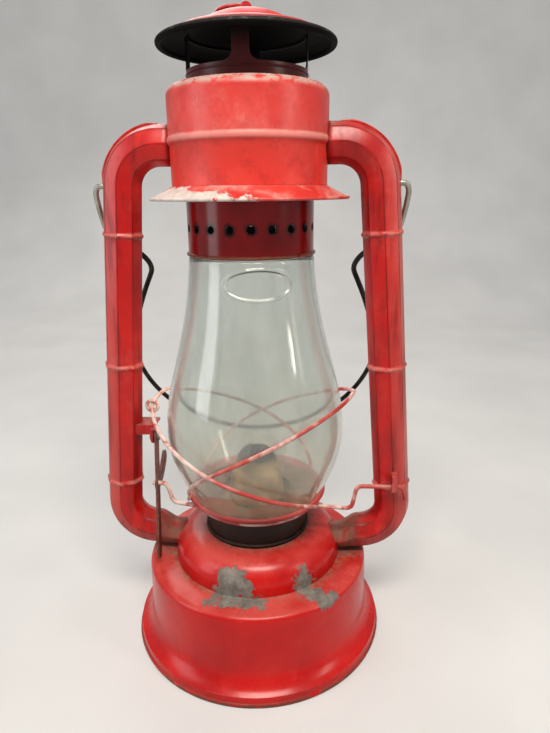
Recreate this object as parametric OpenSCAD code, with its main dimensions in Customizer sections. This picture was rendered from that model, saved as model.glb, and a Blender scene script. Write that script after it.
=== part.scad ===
// Hot-blast tubular lantern with a pressed steel tank, two air tubes, a glass globe and a wire bail.
// Millimetres, +Z up, the origin in the middle of the foot. -Y is the front.

/* [Sheet and wire] */
// Thickness of the pressed sheet
sheet = 0.8; // [0.6:0.1:1.2]
// Gap between two pieces that are soldered or laid together
seam = 0.1; // [0.05:0.05:0.2]
// Free gap between pieces that move past each other
free = 0.4; // [0.3:0.1:0.8]
// Gap all round a pin in its bearing
running = 0.06; // [0.03:0.01:0.1]
// Diameter of the guard wires
guard_d = 2.2; // [1.8:0.1:2.6]
// Diameter of the lift wire
lift_wire_d = 2.5; // [2:0.1:2.8]
// Diameter of the bail wire
bail_d = 3; // [2.4:0.1:3.4]

/* [Tank] */
// Outer radius of the rolled bottom rim
base_r = 76; // [72:0.5:82]
// Diameter of the rolled bottom rim
rim_d = 3; // [2.4:0.1:4]
// Radius of the tank wall at its foot
wall_foot_r = 67.2; // [66.8:0.1:68.5]
// Radius of the tank wall at the shoulder
wall_top_r = 66.4; // [65.5:0.1:66.8]
// Radius of the flare between wall and rim
flare_r = 13; // [11:0.5:15]
// Height of the tank's shoulder
tank_h = 49.5; // [44:0.5:60]
// Rounding of the shoulder's outer edge
shoulder_round = 3; // [2:0.5:5]
// Height of the raised middle of the bottom pan
pan_rise = 3; // [1:0.5:6]

/* [Filler] */
// Distance of the filler from the middle
filler_at = 57.8; // [57.6:0.1:58.4]
// Turn of the filler round the tank, from +X
filler_turn = 122; // [100:1:140]
// Outer radius of the filler neck
filler_r = 5.4; // [4.6:0.1:5.6]
// Height of the filler neck above the shoulder
filler_h = 7; // [6:0.5:9]
// Outer radius of the filler cap
filler_cap_r = 7.2; // [6.8:0.1:7.3]

/* [Air chamber and burner] */
// Outer radius of the air chamber at its foot
chamber_r = 50; // [48:0.5:50]
// Height of the air chamber
chamber_h = 18; // [17.5:0.5:20]
// Radius of the air chamber's rounded shoulder
chamber_round = 14; // [12:0.5:15]
// Outer radius of the burner collar
throat_r = 30; // [28:0.5:31]
// Height of the burner collar above the air chamber
throat_h = 20; // [18:0.5:24]
// Outer radius of the burner body
burner_r = 16; // [14:0.5:17]
// Height of the burner cone above its deck
cone_h = 32; // [28:0.5:36]
// Width of the wick
wick_w = 16; // [12:0.5:18]
// Thickness of the wick
wick_t = 2; // [1.6:0.1:2.4]
// Radius of the wick wheels
wheel_r = 4.6; // [4:0.1:5]
// Radius of the wick shaft
shaft_r = 1.2; // [1:0.1:1.5]
// Distance of the wick knob from the middle
knob_at = 50; // [48:0.5:56]
// Radius of the wick knob
knob_r = 9; // [7:0.5:10]

/* [Globe] */
// Height of the globe
globe_h = 141; // [136:0.5:150]
// Radius of the globe's foot
globe_foot_r = 37.6; // [36.5:0.1:38]
// Radius of the globe's belly
globe_belly_r = 51; // [49:0.5:52]
// Height of the belly above the foot
globe_belly_h = 42; // [38:0.5:46]
// Radius of the globe's top
globe_top_r = 33.4; // [32.8:0.1:34]
// Thickness of the glass
glass = 2.4; // [2:0.1:3]

/* [Chimney and hood] */
// Outer radius of the perforated collar
collar_r = 33.2; // [32.6:0.1:34]
// Height of the perforated collar
collar_h = 27.7; // [24:0.5:32]
// Radius of the air holes in the collar
air_hole_r = 2; // [1.5:0.1:2.4]
// Number of air holes in the collar
air_holes = 20; // [12:1:22]
// Outer radius of the flue
flue_r = 29.7; // [28:0.1:30]
// Outer radius of the drum
drum_r = 40.3; // [39.5:0.1:42]
// Height of the drum
drum_h = 47; // [45:0.5:52]
// Rounding of the drum's upper edge
drum_round = 5; // [3:0.5:7]
// Outer radius of the skirt's edge
skirt_r = 51.5; // [48:0.5:54]
// Height of the skirt's slope
skirt_h = 7; // [5:0.5:9]
// Height of the cap's edge above the foot of the flue's windows
cap_gap = 12; // [10:0.5:14]
// Width of the posts between the windows
post_w = 8; // [6:0.5:10]
// Outer radius of the rain cap
cap_r = 43.8; // [42:0.2:46]
// Height of the rain cap's crown above its edge
crown_h = 14; // [12:0.5:15]
// Radius of the lift ring on the cap
ring_r = 7; // [6:0.5:9]
// Thickness of the ring's wire
ring_d = 1.8; // [1.4:0.1:2]

/* [Side tubes] */
// Width of an eight-sided tube across its corners
tube_w = 21; // [19:0.5:22]
// Height of the flattened tube end at the air chamber
tube_flat_h = 14; // [12:0.5:16]
// Distance from the middle to the corner of the upper bend
tube_top_x = 65.5; // [64.5:0.5:68]
// Outward lean of the tubes
splay = 4.6; // [4:0.1:5]
// Radius of the upper bend at the tube's centre line
upper_bend = 20.9; // [18:0.5:23]
// Radius of the lower bend at the tube's centre line
lower_bend = 19.5; // [17:0.5:21]
// Height of the first bead below the upper run
bead_first = 44.5; // [40:0.5:50]
// Distance from one bead to the next
bead_pitch = 72.5; // [66:0.5:74]
// How far a bead stands out of the tube
bead_out = 0.9; // [0.5:0.1:1]

/* [Bail] */
// Length of the bail from its pivot to the top of its arch
bail_l = 183; // [175:1:190]
// Radius of the bail's arch
arch_r = 78; // [74:1:80]
// Lean of the bail behind the upright, where it rests
bail_lean = 23.5; // [23.5:0.5:24]
// Sideways bend of the bail for each millimetre of its length
bail_skew = 0.04; // [0:0.01:0.05]

/* [Globe lift] */
// Travel of the globe carriage
lift = 5; // [4:0.5:7]
// Turn of the lever over that travel
lever_turn = 45; // [40:1:50]
// Length of the lever from its pivot to its tip
lever_l = 72; // [66:1:73]
// Width of the lever's strip
lever_w = 6; // [5:0.5:7]
// Thickness of the lever and its bracket
lever_t = 1.2; // [1:0.1:1.4]

/* [Hidden] */
$fn = 96;

// Heights of the stack, from the foot up
chamber_top = tank_h + chamber_h;
throat_top = chamber_top + throat_h;
plate_z = throat_top + free;
globe_z = plate_z + sheet + seam;
globe_top = globe_z + globe_h;
seat_gap = 0.3;
collar_z = globe_top + seat_gap;
collar_top = collar_z + collar_h;
drum_z = collar_top + skirt_h;
drum_top = drum_z + drum_h;
flue_neck_h = 5.5;
window_z = drum_top + flue_neck_h;
cap_z = window_z + cap_gap;
brim_slope_h = 4.6;
flue_top = cap_z + brim_slope_h;
window_band = 1.2;
window_h = flue_top - window_band - window_z;
crown_z = cap_z + crown_h;

// Burner deck and wick shaft
deck_z = throat_top - 4.5;
shaft_z = deck_z - 5.5;
shaft_x = wick_t / 2 + 0.2 + wheel_r;
wick_tube_t = 0.8;
wick_gap = 0.4;

// Side tube, worked out in the plane y = 0 on the right side
tube_r = tube_w / 2;
upper_z = drum_z + 20;
lower_z = tank_h + 1.7 + tube_r;
lower_x = tube_top_x + (upper_z - lower_z) * tan(splay);
upper_c = [tube_top_x - upper_bend * tan((90 - splay) / 2), upper_z - upper_bend];
lower_c = [lower_x - lower_bend * tan((90 + splay) / 2), lower_z + lower_bend];
leg_top = upper_c + upper_bend * [cos(splay), sin(splay)];
leg_foot = lower_c + lower_bend * [cos(splay), sin(splay)];
flat_x = chamber_r - 11;
flat_from = lower_c[0] - 12;
drum_end_x = drum_r - sheet - 1;
function leg_x(z) = tube_top_x + (upper_z - z) * tan(splay);

// Bail pivot on the tubes
pivot_z = upper_z - 19.5;
pin_r = bail_d / 2 + 0.1;
pin_in = 5;
pin_x = leg_x(pivot_z) + tube_r;

// Globe plate, lift wire and guard
plate_rim_r = globe_foot_r + 2.6;
plate_rim_d = 2.4;
plate_rim_z = plate_z + 3.2;
wire_r = lift_wire_d / 2;
wire_arc_r = plate_rim_r - 4.2;
wire_y = -(tube_r + bead_out + wire_r + 1.6);
wire_z = plate_z + 11.3;
guard_r = guard_d / 2;

// Lever, its pivot and the eye of the lift rod
lever_x = -(globe_belly_r + 6);
lever_y = -9;
lever_z = wire_z + 28;
lever_lean = 10.4;
rivet_r = 1.5;
web_z = lever_z + 4;
rod_x = lever_x - 3.6;
rod_r = 1.1;
eye_r = 3.2;
eye_z = web_z + 11;

red = "#b3211f";
dark_red = "#8a1717";
soot = "#2a2624";
steel = "#77736c";
brass = "#a8843f";
linen = "#d8cdb4";
clear = [0.8, 0.87, 0.86, 0.45];

// Outlines: points on arcs and curves, and the inner line of a bent sheet
function reverse(list) = [for (i = [len(list) - 1:-1:0]) list[i]];
function unit(v) = v / norm(v);
function left_of(v) = [-v[1], v[0]];
function arc(c, r, from, to, n = 6) =
    [for (i = [0:n]) let (a = from + (to - from) * i / n) c + r * [cos(a), sin(a)]];
function bezier(a, b, c, d, n = 8) =
    [for (i = [0:n]) let (t = i / n, u = 1 - t)
        u * u * u * a + 3 * u * u * t * b + 3 * u * t * t * c + t * t * t * d];
function inward(path, i) =
    let (last = len(path) - 1,
         j = max(i, 1),
         k = min(i, last - 1),
         before = left_of(unit(path[j] - path[j - 1])),
         after = left_of(unit(path[k + 1] - path[k])))
    (before + after) / (1 + before * after);
function inner_line(path, t) = [for (i = [0:len(path) - 1]) path[i] + t * inward(path, i)];

// Sheet of thickness t spun round the axis; the outline is its outer side
module spun(path, t = sheet)
    rotate_extrude() polygon(concat(path, reverse(inner_line(path, t))));

module ring(r, z, d)
    translate([0, 0, z]) rotate_extrude() translate([r, 0]) circle(d = d, $fn = 32);

// Wires: a path of points with rounded corners, and a round tube swept along it
function rounded(p, r, n = 4) =
    [for (i = [0:len(p) - 1])
        if (i == 0 || i == len(p) - 1) p[i]
        else let (a = unit(p[i - 1] - p[i]),
                  b = unit(p[i + 1] - p[i]),
                  reach = min(r, norm(p[i - 1] - p[i]) / 2.1, norm(p[i + 1] - p[i]) / 2.1))
            each [for (k = [0:n]) let (t = k / n)
                p[i] + reach * ((1 - t) * (1 - t) * a + t * t * b)]];
function along(p, i) = unit(p[min(i + 1, len(p) - 1)] - p[max(i - 1, 0)]);
function square_to(v, t) = unit(v - (v * t) * t);
function carried(p, i, v) =
    i == len(p) ? [] : let (w = square_to(v, along(p, i))) concat([w], carried(p, i + 1, w));

module wire(p, d, sides = 8, start = [0.3, 0.5, 0.81]) {
    n = len(p);
    side = carried(p, 0, start);
    points = [for (i = [0:n - 1]) let (u = side[i], v = cross(along(p, i), u))
        for (k = [0:sides - 1]) let (a = 360 * k / sides) p[i] + d / 2 * (cos(a) * u + sin(a) * v)];
    walls = [for (i = [0:n - 2], k = [0:sides - 1])
        let (a = i * sides + k, b = i * sides + (k + 1) % sides)
        each [[a, a + sides, b], [b, a + sides, b + sides]]];
    first = [for (k = [1:sides - 2]) [0, k, k + 1]];
    last = [for (k = [1:sides - 2]) let (a = (n - 1) * sides) [a, a + k + 1, a + k]];
    polyhedron(points, concat(walls, first, last));
}

// Tank
mouth_r = burner_r + 4;
flare_c = [wall_foot_r + flare_r, rim_d + flare_r + 2];
flare_line = arc(flare_c, flare_r, 245, 180, 6);
rim_edge = [base_r - rim_d / 4, rim_d / 2];
tank_line = concat(
    [rim_edge],
    flare_line,
    arc([wall_top_r - shoulder_round, tank_h - shoulder_round], shoulder_round, 0, 90, 5),
    [[mouth_r, tank_h]]);

module tank_shell() color(red) difference() {
    union() {
        spun(tank_line);
        intersection() {
            ring(base_r - rim_d / 2, rim_d * 0.4, rim_d);
            cylinder(r = base_r + 1, h = rim_d);
        }
    }
    filler_place() cylinder(r = filler_r + seam, h = 20, center = true);
}

// The pan ends a seam short of the sloping foot inside the rim
foot_slope = flare_line[0] - rim_edge;
pan_z = rim_d * 0.9 + seam;
pan_edge = pan_z + sheet - rim_edge[1];
pan_r = rim_edge[0] + (foot_slope[0] * pan_edge - norm(foot_slope) * sheet) / foot_slope[1] - seam;
pan_flat = 20;
pan_step = 4;
module tank_bottom() color(red) let (top = pan_z + pan_rise)
    spun([[0, top], [pan_r - pan_flat - pan_step, top], [pan_r - pan_flat, pan_z], [pan_r, pan_z]]);

// Filler, on the shoulder at the rear
module filler_place()
    rotate([0, 0, filler_turn]) translate([filler_at, 0, tank_h]) children();

neck_deep = 5.5;
neck_flange = 1.3;
neck_wall = 1;
module filler_neck() color(brass) filler_place() difference() {
    union() {
        translate([0, 0, -neck_deep]) cylinder(r = filler_r, h = neck_deep + filler_h);
        translate([0, 0, seam]) cylinder(r = filler_r + neck_flange, h = sheet);
    }
    translate([0, 0, -2 * neck_deep]) cylinder(r = filler_r - neck_wall, h = 4 * neck_deep + filler_h);
}

gasket_t = 1.4;
module filler_gasket() color("#4b3a2a") filler_place()
    translate([0, 0, filler_h + seam]) cylinder(r = filler_r - 0.2, h = gasket_t);

// A grip is a round groove cut half its radius deep
module grips(count, r, groove, h)
    for (k = [0:count - 1]) rotate([0, 0, 360 * k / count])
        translate([r + groove / 2, 0, -1]) cylinder(r = groove, h = h, $fn = 24);

cap_low = 1.8;
cap_t = 1.5;
module filler_cap() color(brass) filler_place() translate([0, 0, cap_low]) difference() {
    inside = filler_h + gasket_t + 2 * seam - cap_low;
    cylinder(r = filler_cap_r, h = inside + cap_t);
    translate([0, 0, -1]) cylinder(r = filler_r + seam, h = inside + 1);
    grips(18, filler_cap_r, 0.7, inside + 4);
}

// Air chamber and burner
chamber_line = concat(
    [[chamber_r + 0.3, tank_h + seam]],
    arc([chamber_r - chamber_round, tank_h + 4], chamber_round, 0, 72, 7),
    [[throat_r + 1.2, chamber_top]]);

module air_chamber() color(red) difference() {
    spun(chamber_line);
    for (side = [0, 180]) rotate([0, 0, side]) flat_run(seam);
}

throat_deep = 8;
throat_bead_d = 1.8;
module burner_collar() color(soot) difference() {
    union() {
        translate([0, 0, chamber_top - throat_deep]) cylinder(r = throat_r, h = throat_h + throat_deep);
        ring(throat_r + 0.5, chamber_top + throat_bead_d / 2 + 2 * seam, throat_bead_d);
    }
    translate([0, 0, chamber_top - 2 * throat_deep]) cylinder(r = throat_r - sheet, h = 2 * throat_h);
    shaft_bore(0);
}

module shaft_bore(from)
    on_shaft(from) cylinder(r = shaft_r + running, h = knob_at - from, $fn = 48);

ring_deep = 4;
ring_lip = 2;
ring_lip_t = 1.6;
module burner_ring() color(brass) difference() {
    union() {
        translate([0, 0, tank_h - ring_deep]) cylinder(r = mouth_r - seam, h = ring_deep);
        translate([0, 0, tank_h + seam]) cylinder(r = mouth_r + ring_lip, h = ring_lip_t);
        translate([0, 0, tank_h - seam]) cylinder(r = mouth_r - 5 * seam, h = 3 * seam);
    }
    translate([0, 0, tank_h - 2 * ring_deep]) cylinder(r = burner_r + seam, h = 4 * ring_deep);
}

floor_z = tank_h + 10;
floor_t = 1;
stop_w = 4.5;
body_deep = 6;
module burner_body() color(brass) difference() {
    top = deck_z - sheet - seam;
    union() {
        spun([[burner_r, tank_h - body_deep], [burner_r, top], [burner_r + 4, top]]);
        translate([0, 0, floor_z]) cylinder(r = burner_r - sheet / 2, h = floor_t);
        translate([0, 0, tank_h + ring_lip_t + 3 * seam]) rotate_extrude()
            translate([burner_r - sheet / 2, 0]) square([stop_w, floor_t]);
    }
    wick_block(wick_tube_t + wick_gap / 2 + seam, floor_z - floor_t, 3 * floor_t);
    shaft_bore(-knob_at);
}

module wick_block(grow, z, h)
    translate([-(wick_t / 2 + grow), -(wick_w / 2 + grow), z])
        cube([wick_t + 2 * grow, wick_w + 2 * grow, h]);

deck_holes = 24;
deck_hole_d = 2.2;
deck_hole_in = 3.2;
deck_hole_r = burner_r + 1;
module burner_deck() color(brass) difference() {
    translate([0, 0, deck_z]) cylinder(r = throat_r - sheet - seam, h = sheet);
    translate([0, 0, deck_z - 1]) cylinder(r = deck_hole_r, h = 4);
    for (k = [0:deck_holes - 1]) rotate([0, 0, 360 * k / deck_holes])
        translate([throat_r - deck_hole_in, 0, deck_z - 1]) cylinder(d = deck_hole_d, h = 4, $fn = 24);
}

cone_z = deck_z + 2 * sheet + seam;
cone_top = cone_z + cone_h;
cone_r = deck_hole_r - 0.5;
cone_flange = 3;
cone_crown_r = 5;
slot_w = 6;
slot_deep = 9;
module burner_cone() color(brass) difference() {
    spun(concat([[cone_r + cone_flange, cone_z], [cone_r, cone_z]],
        bezier([cone_r, cone_z + 1], [cone_r, cone_z + cone_h * 0.55], [cone_r - 6, cone_top],
               [cone_crown_r, cone_top], 8),
        [[0, cone_top]]));
    translate([-slot_w / 2, -wick_w / 2 - 1, cone_top - slot_deep]) cube([slot_w, wick_w + 2, 2 * slot_deep]);
}

wick_tube_top = deck_z + cone_h - slot_deep;
module wick_tube() color(brass) difference() {
    wick_block(wick_tube_t + wick_gap / 2, floor_z - 1, wick_tube_top - floor_z + 1);
    wick_block(wick_gap / 2, floor_z - 2, wick_tube_top - floor_z + 4);
    translate([wick_t / 2 - 0.2, -wick_w / 2 + 1.5, shaft_z - wheel_r - 1])
        cube([4, wick_w - 3, 2 * wheel_r + 2]);
}

wick_foot = tank_h - 22;
wick_top = wick_tube_top + 6;
module wick() color(linen) wick_block(0, wick_foot, wick_top - wick_foot);

module on_shaft(y) translate([shaft_x, y, shaft_z]) rotate([-90, 0, 0]) children();

shaft_end = 3;
module wick_shaft() color(steel) on_shaft(-burner_r - 1)
    cylinder(r = shaft_r, h = burner_r + 1 + knob_at + shaft_end, $fn = 48);

// Pieces fixed on the shaft fit it with a hair of room
snug = 0.02;
wheel_teeth = 12;
wheel_t = 2.5;
tooth_h = 0.9;
module wick_wheel() linear_extrude(wheel_t) difference() {
    polygon([for (k = [0:2 * wheel_teeth - 1])
        let (a = 180 * k / wheel_teeth, r = wheel_r - (k % 2) * tooth_h) r * [cos(a), sin(a)]]);
    circle(r = shaft_r + snug, $fn = 48);
}
module wick_wheels() color(brass) for (y = [-2, 1] * wheel_t) on_shaft(y) wick_wheel();

knob_t = 3.2;
hub_h = 6.4;
hub_back = 2;
module wick_knob() color(brass) on_shaft(knob_at) difference() {
    union() {
        cylinder(r = knob_r, h = knob_t);
        translate([0, 0, -hub_back]) cylinder(r = shaft_r + 2, h = hub_h);
    }
    translate([0, 0, -2 * hub_back])
        cylinder(r = shaft_r + snug, h = 2 * hub_back + shaft_end + snug, $fn = 48);
    grips(24, knob_r, 0.8, 6);
}

// Globe and the carriage that lifts it
globe_line = concat(
    bezier([globe_foot_r, globe_z], [globe_foot_r + 0.9, globe_z + 4],
           [globe_belly_r, globe_z + globe_belly_h / 2], [globe_belly_r, globe_z + globe_belly_h], 9),
    [for (i = [1:11]) bezier(
        [globe_belly_r, globe_z + globe_belly_h], [globe_belly_r, globe_z + globe_belly_h + 30],
        [globe_top_r + 2.1, globe_top - 45], [globe_top_r, globe_top], 11)[i]]);
globe_table = [for (p = globe_line) [p[1], p[0]]];
function globe_r(z) = lookup(z, globe_table);

module globe() color(clear) spun(globe_line, glass);

module globe_plate() color(red) {
    spun([[burner_r + 5.6, plate_z], [plate_rim_r - 2.2, plate_z], [plate_rim_r - 0.8, plate_z + 1.4],
          [plate_rim_r - 0.7, plate_rim_z]]);
    ring(plate_rim_r, plate_rim_z, plate_rim_d);
}

// One strand of a guard loop: from its corner up to its height, round the globe, down to the plate's rim
strand_steps = 22;
function strand(corner, high_z, from, turn, gap, power) =
    [for (i = [0:strand_steps]) let (
        u = i / strand_steps,
        rise = (high_z - corner[1]) * pow(max(0, 1 - u / 0.15), 2),
        z = high_z - (high_z - plate_rim_z) * pow(u, power) - rise,
        near = max(globe_r(z), plate_rim_r + plate_rim_d / 2 - gap) + gap + guard_r + seam,
        r = near + (corner[0] - near) * pow(max(0, 1 - u / 0.4), 2),
        a = from + turn * u)
        [r * cos(a), r * sin(a), z]];
function guard_loop(corner, back_z, from, turn, gap, front_power, back_power) =
    let (front = strand(corner, corner[1], from, turn, gap, front_power),
         back = strand(corner, back_z, from, -turn, gap, back_power))
    concat(reverse(front), [for (i = [1:strand_steps]) back[i]]);

inner_gap = 0.5;
outer_gap = inner_gap + guard_d + 0.3;
left_corner = [-rod_x, eye_z + 0.6];
right_corner = [globe_belly_r + 6, eye_z + 10];
module left_guard() color(red)
    wire(guard_loop(left_corner, eye_z + 9, 180, 146, outer_gap, 1.25, 1.3), guard_d);
module right_guard() color(red)
    wire(guard_loop(right_corner, right_corner[1], 0, -154, inner_gap, 2.2, 1.2), guard_d);

wire_arc_z = plate_z - wire_r - seam / 2;
wire_bend = 3.5;
wire_past_lever = 3.2;
crank_left = [lever_x + 5.5, lever_x + 8.5];
crank_right = [globe_belly_r + 5.5, globe_belly_r + 8.2];
hook_x = leg_x(wire_z) + 5.5;
function under_plate(a) = [wire_arc_r * cos(a), wire_arc_r * sin(a), wire_arc_z];
wire_path = concat(
    rounded([[lever_x - wire_past_lever, wire_y, wire_z], [crank_left[0], wire_y, wire_z],
             [crank_left[1], wire_y, wire_arc_z], under_plate(210), under_plate(220)], wire_bend),
    [for (a = [230:10:320]) under_plate(a)],
    rounded([under_plate(328), under_plate(336), [crank_right[0], wire_y, wire_arc_z - 2],
             [crank_right[1], wire_y, wire_z], [hook_x, wire_y, wire_z],
             [hook_x + 1.5, wire_y, wire_z - 9]], wire_bend));
module cross_wire() color(red) wire(wire_path, lift_wire_d);

rod_foot = web_z - 12;
module lift_rod() color(red) translate([rod_x, 0, 0]) {
    translate([0, 0, eye_z]) rotate([90, 0, 0]) rotate_extrude()
        translate([eye_r, 0]) circle(r = rod_r, $fn = 32);
    translate([0, 0, rod_foot]) cylinder(r = rod_r, h = eye_z - eye_r - rod_foot, $fn = 48);
}

// Lever: the wire's end slides in a curved slot, so that lift and turn keep one ratio
slot_steps = 12;
slot_play = 0.2;
function turned(v, a) = [v[0] * cos(a) - v[1] * sin(a), v[0] * sin(a) + v[1] * cos(a)];
lever_p = [lever_y, lever_z];
slot_line = [for (i = [0:slot_steps])
    lever_p + turned([wire_y, wire_z + lift * i / slot_steps] - lever_p, lever_turn * i / slot_steps)];
function end_cap(at, dir, half) =
    let (a = atan2(dir[1], dir[0]) + 90)
    [for (i = [1:7]) let (t = a - 180 * i / 8) at + half * [cos(t), sin(t)]];
function band(line, half) =
    let (last = len(line) - 1)
    concat(inner_line(line, half), end_cap(line[last], line[last] - line[last - 1], half),
           reverse(inner_line(line, -half)), end_cap(line[0], line[0] - line[1], half));

lever_down = [-sin(lever_lean), -cos(lever_lean)];
slot_edge = 3;
module lever_blade() {
    polygon(band([lever_p, lever_p + lever_l * lever_down], lever_w / 2));
    polygon(band(slot_line, wire_r + slot_edge));
}

module in_side_plane(x) translate([x, 0, 0]) rotate([90, 0, 90]) children();

module lift_lever() color(red) in_side_plane(lever_x - lever_t / 2) linear_extrude(lever_t) difference() {
    lever_blade();
    polygon(band(slot_line, wire_r + slot_play));
    translate(lever_p) circle(r = rivet_r + running, $fn = 48);
}

// Bracket: a web from the tube, with a lip in front and a flange that holds the lever's rivet
flange_x = lever_x - lever_t * 1.5 - 0.6;
flange_r = 4.5;
web_from = -leg_x(web_z) + tube_r - 5;
web_w = 12;
lip_h = 5;
module lever_bracket() color(red) difference() {
    union() {
        translate([web_from, -web_w / 2, web_z]) cube([flange_x + lever_t - web_from, web_w, lever_t]);
        translate([web_from, -web_w / 2, web_z - lip_h])
            cube([flange_x - web_from, lever_t, lip_h + lever_t]);
        in_side_plane(flange_x) linear_extrude(lever_t) {
            translate(lever_p) circle(r = flange_r);
            translate([lever_y - flange_r, lever_z]) square([2 * flange_r, web_z - lever_z + lever_t]);
        }
    }
    mirror([1, 0, 0]) tube_envelope(seam / 2);
    translate([rod_x, 0, web_z - 1]) cylinder(r = rod_r + running, h = 5, $fn = 48);
    in_side_plane(flange_x - 1) linear_extrude(4) translate(lever_p) circle(r = rivet_r + snug, $fn = 48);
}

rivet_head_r = 2.8;
rivet_head_t = 0.9;
washer_t = 0.4;
module lever_rivet() color(steel) in_side_plane(0) translate([lever_y, lever_z, 0]) {
    back = flange_x - rivet_head_t;
    front = lever_x + lever_t / 2 + 0.2;
    translate([0, 0, back]) cylinder(r = rivet_r, h = front - back + rivet_head_t, $fn = 48);
    translate([0, 0, back]) cylinder(r = rivet_head_r, h = rivet_head_t - snug);
    translate([0, 0, flange_x + lever_t + snug]) cylinder(r = rivet_head_r - 0.2, h = washer_t);
    translate([0, 0, front]) cylinder(r = rivet_head_r, h = rivet_head_t);
}

keeper_w = 3;
module wire_keeper() color(red) difference() {
    low = wire_z - wire_r - free;
    high = wire_z + wire_r + lift + free;
    front = wire_y - wire_r - free;
    translate([leg_x(wire_z) - keeper_w / 2, front - sheet, low - sheet])
        cube([keeper_w, -front - tube_r / 2 + sheet, high - low + 2 * sheet]);
    translate([leg_x(wire_z) - keeper_w, front, low]) cube([2 * keeper_w, -front, high - low]);
    tube_envelope(seam / 2);
}

// Side tubes, drawn on the right and mirrored to the left
function octagon(w, d) = [for (k = [0:7]) [w / 2 * cos(45 * k), d / 2 * sin(45 * k)]];
module tube_section(grow) {
    w = tube_w + 2 * grow;
    polygon(octagon(w, w));
}

// The upper bend's own plane, turned to the start of the bend, and places along the leg below it
module on_upper_bend()
    translate([upper_c[0], 0, upper_c[1]]) rotate([90, 0, 0]) rotate([0, 0, splay]) children();
module on_leg(s) on_upper_bend() translate([upper_bend, -s, 0]) rotate([90, 0, 0]) children();
leg_l = norm(leg_top - leg_foot);

module run_along_x(from, to, z, w, d)
    translate([from, 0, z]) rotate([90, 0, 90]) linear_extrude(to - from) polygon(octagon(d, w));

flat_z = lower_z - tube_r + tube_flat_h / 2;
module flat_run(grow)
    run_along_x(flat_x, flat_from + lap, flat_z, tube_flat_h + 2 * grow, tube_w + 2 * grow);

// Straight-sided passage from the flattened end to the full tube
module flattening(grow) {
    w = tube_w + 2 * grow;
    h = tube_flat_h + 2 * grow;
    points = concat(
        [for (p = octagon(w, h)) [flat_from, p[0], flat_z + p[1]]],
        [for (x = [lower_c[0], lower_c[0] + lap], p = octagon(w, w)) [x, p[0], lower_z + p[1]]]);
    walls = [for (ring = [0, 8], k = [0:7]) let (a = ring + k, b = ring + (k + 1) % 8)
        each [[a, a + 8, b], [b, a + 8, b + 8]]];
    ends = [for (k = [1:6]) each [[0, k, k + 1], [16, 17 + k, 16 + k]]];
    polyhedron(points, concat(walls, ends));
}

// The straight stretches are a hair slimmer than the bends that they run into
lap = 0.4;
hair = 0.01;
module tube_form(grow) {
    thin = grow - hair;
    run_along_x(drum_end_x, upper_c[0] + lap, upper_z, tube_w + 2 * thin, tube_w + 2 * thin);
    on_upper_bend() rotate_extrude(angle = 90 - splay) translate([upper_bend, 0]) tube_section(grow);
    on_leg(-lap) linear_extrude(leg_l + 2 * lap) tube_section(thin);
    on_upper_bend() translate([upper_bend - lower_bend, -leg_l, 0]) rotate([0, 0, -90 - splay])
        rotate_extrude(angle = 90 + splay) translate([lower_bend, 0]) tube_section(grow);
    flattening(thin);
    flat_run(thin - hair);
}

bead_h = 3;
module beads(grow) for (k = [0:2]) {
    s = (bead_first + k * bead_pitch) / cos(splay) - norm(leg_top - [tube_top_x, upper_z]);
    on_leg(s - bead_h / 2 - grow) linear_extrude(bead_h + 2 * grow) tube_section(bead_out / 2 + grow);
    on_leg(s - bead_h / 4 - grow) linear_extrude(bead_h / 2 + 2 * grow) tube_section(bead_out + grow);
}

module tube_envelope(grow) {
    on_leg(0) linear_extrude(leg_l) tube_section(grow);
    beads(grow);
}

fin_out = 0.9;
fin_in = 0.6;
fin_t = 0.9;
module seam_fin() on_upper_bend() rotate_extrude(angle = 90 - splay)
    translate([upper_bend + tube_r - fin_in, -fin_t / 2]) square([fin_in + fin_out, fin_t]);

module right_tube() color(red) difference() {
    union() {
        tube_form(0);
        beads(0);
        seam_fin();
    }
    tube_form(-sheet);
    translate([flat_x - 1, 0, flat_z]) rotate([90, 0, 90])
        linear_extrude(3) polygon(octagon(tube_w - 2 * sheet, tube_flat_h - 2 * sheet));
    translate([drum_end_x - 1, 0, upper_z]) rotate([90, 0, 90]) linear_extrude(3) tube_section(-sheet);
    translate([pin_x - 6, 0, pivot_z]) rotate([0, 90, 0]) cylinder(r = pin_r + running, h = 10, $fn = 48);
}

module left_tube() mirror([1, 0, 0]) right_tube();

// Hood
hood_bead_z = drum_z + 21;
hood_bead_h = 5;
hood_step = 0.4;
drum_slope_h = 0.9;
drum_line = concat(
    [[drum_r - hood_step, drum_z], [drum_r - hood_step, hood_bead_z - hood_bead_h / 2]],
    [for (i = [1:5]) let (u = i / 6)
        [drum_r - hood_step * (1 - u) + 0.9 * sin(180 * u), hood_bead_z + hood_bead_h * (u - 0.5)]],
    [[drum_r, hood_bead_z + hood_bead_h / 2]],
    arc([drum_r - drum_round, drum_top - drum_slope_h - drum_round], drum_round, 0, 78, 5),
    [[flue_r + 0.5, drum_top]]);

module bell_drum() color(red) difference() {
    spun(drum_line);
    for (side = [0, 180]) rotate([0, 0, side])
        run_along_x(drum_r - 6, drum_r + 6, upper_z, tube_w + 2 * seam, tube_w + 2 * seam);
}

skirt_in_r = drum_r - hood_step - sheet - seam;
skirt_tuck = 5;
module bell_skirt() color(red) {
    low = drum_z - skirt_h;
    spun(concat(
        [[skirt_r - 0.6, low + 0.9]],
        bezier([skirt_r - 1.2, low + 1.2], [skirt_r - 5, low + 3.6],
               [drum_r + 1.6, drum_z - 1.6], [drum_r - hood_step, drum_z - seam], 5),
        [[skirt_in_r, drum_z - seam], [skirt_in_r, drum_z + skirt_tuck]]));
    ring(skirt_r - 0.8, low + 0.8, 1.6);
}

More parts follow.
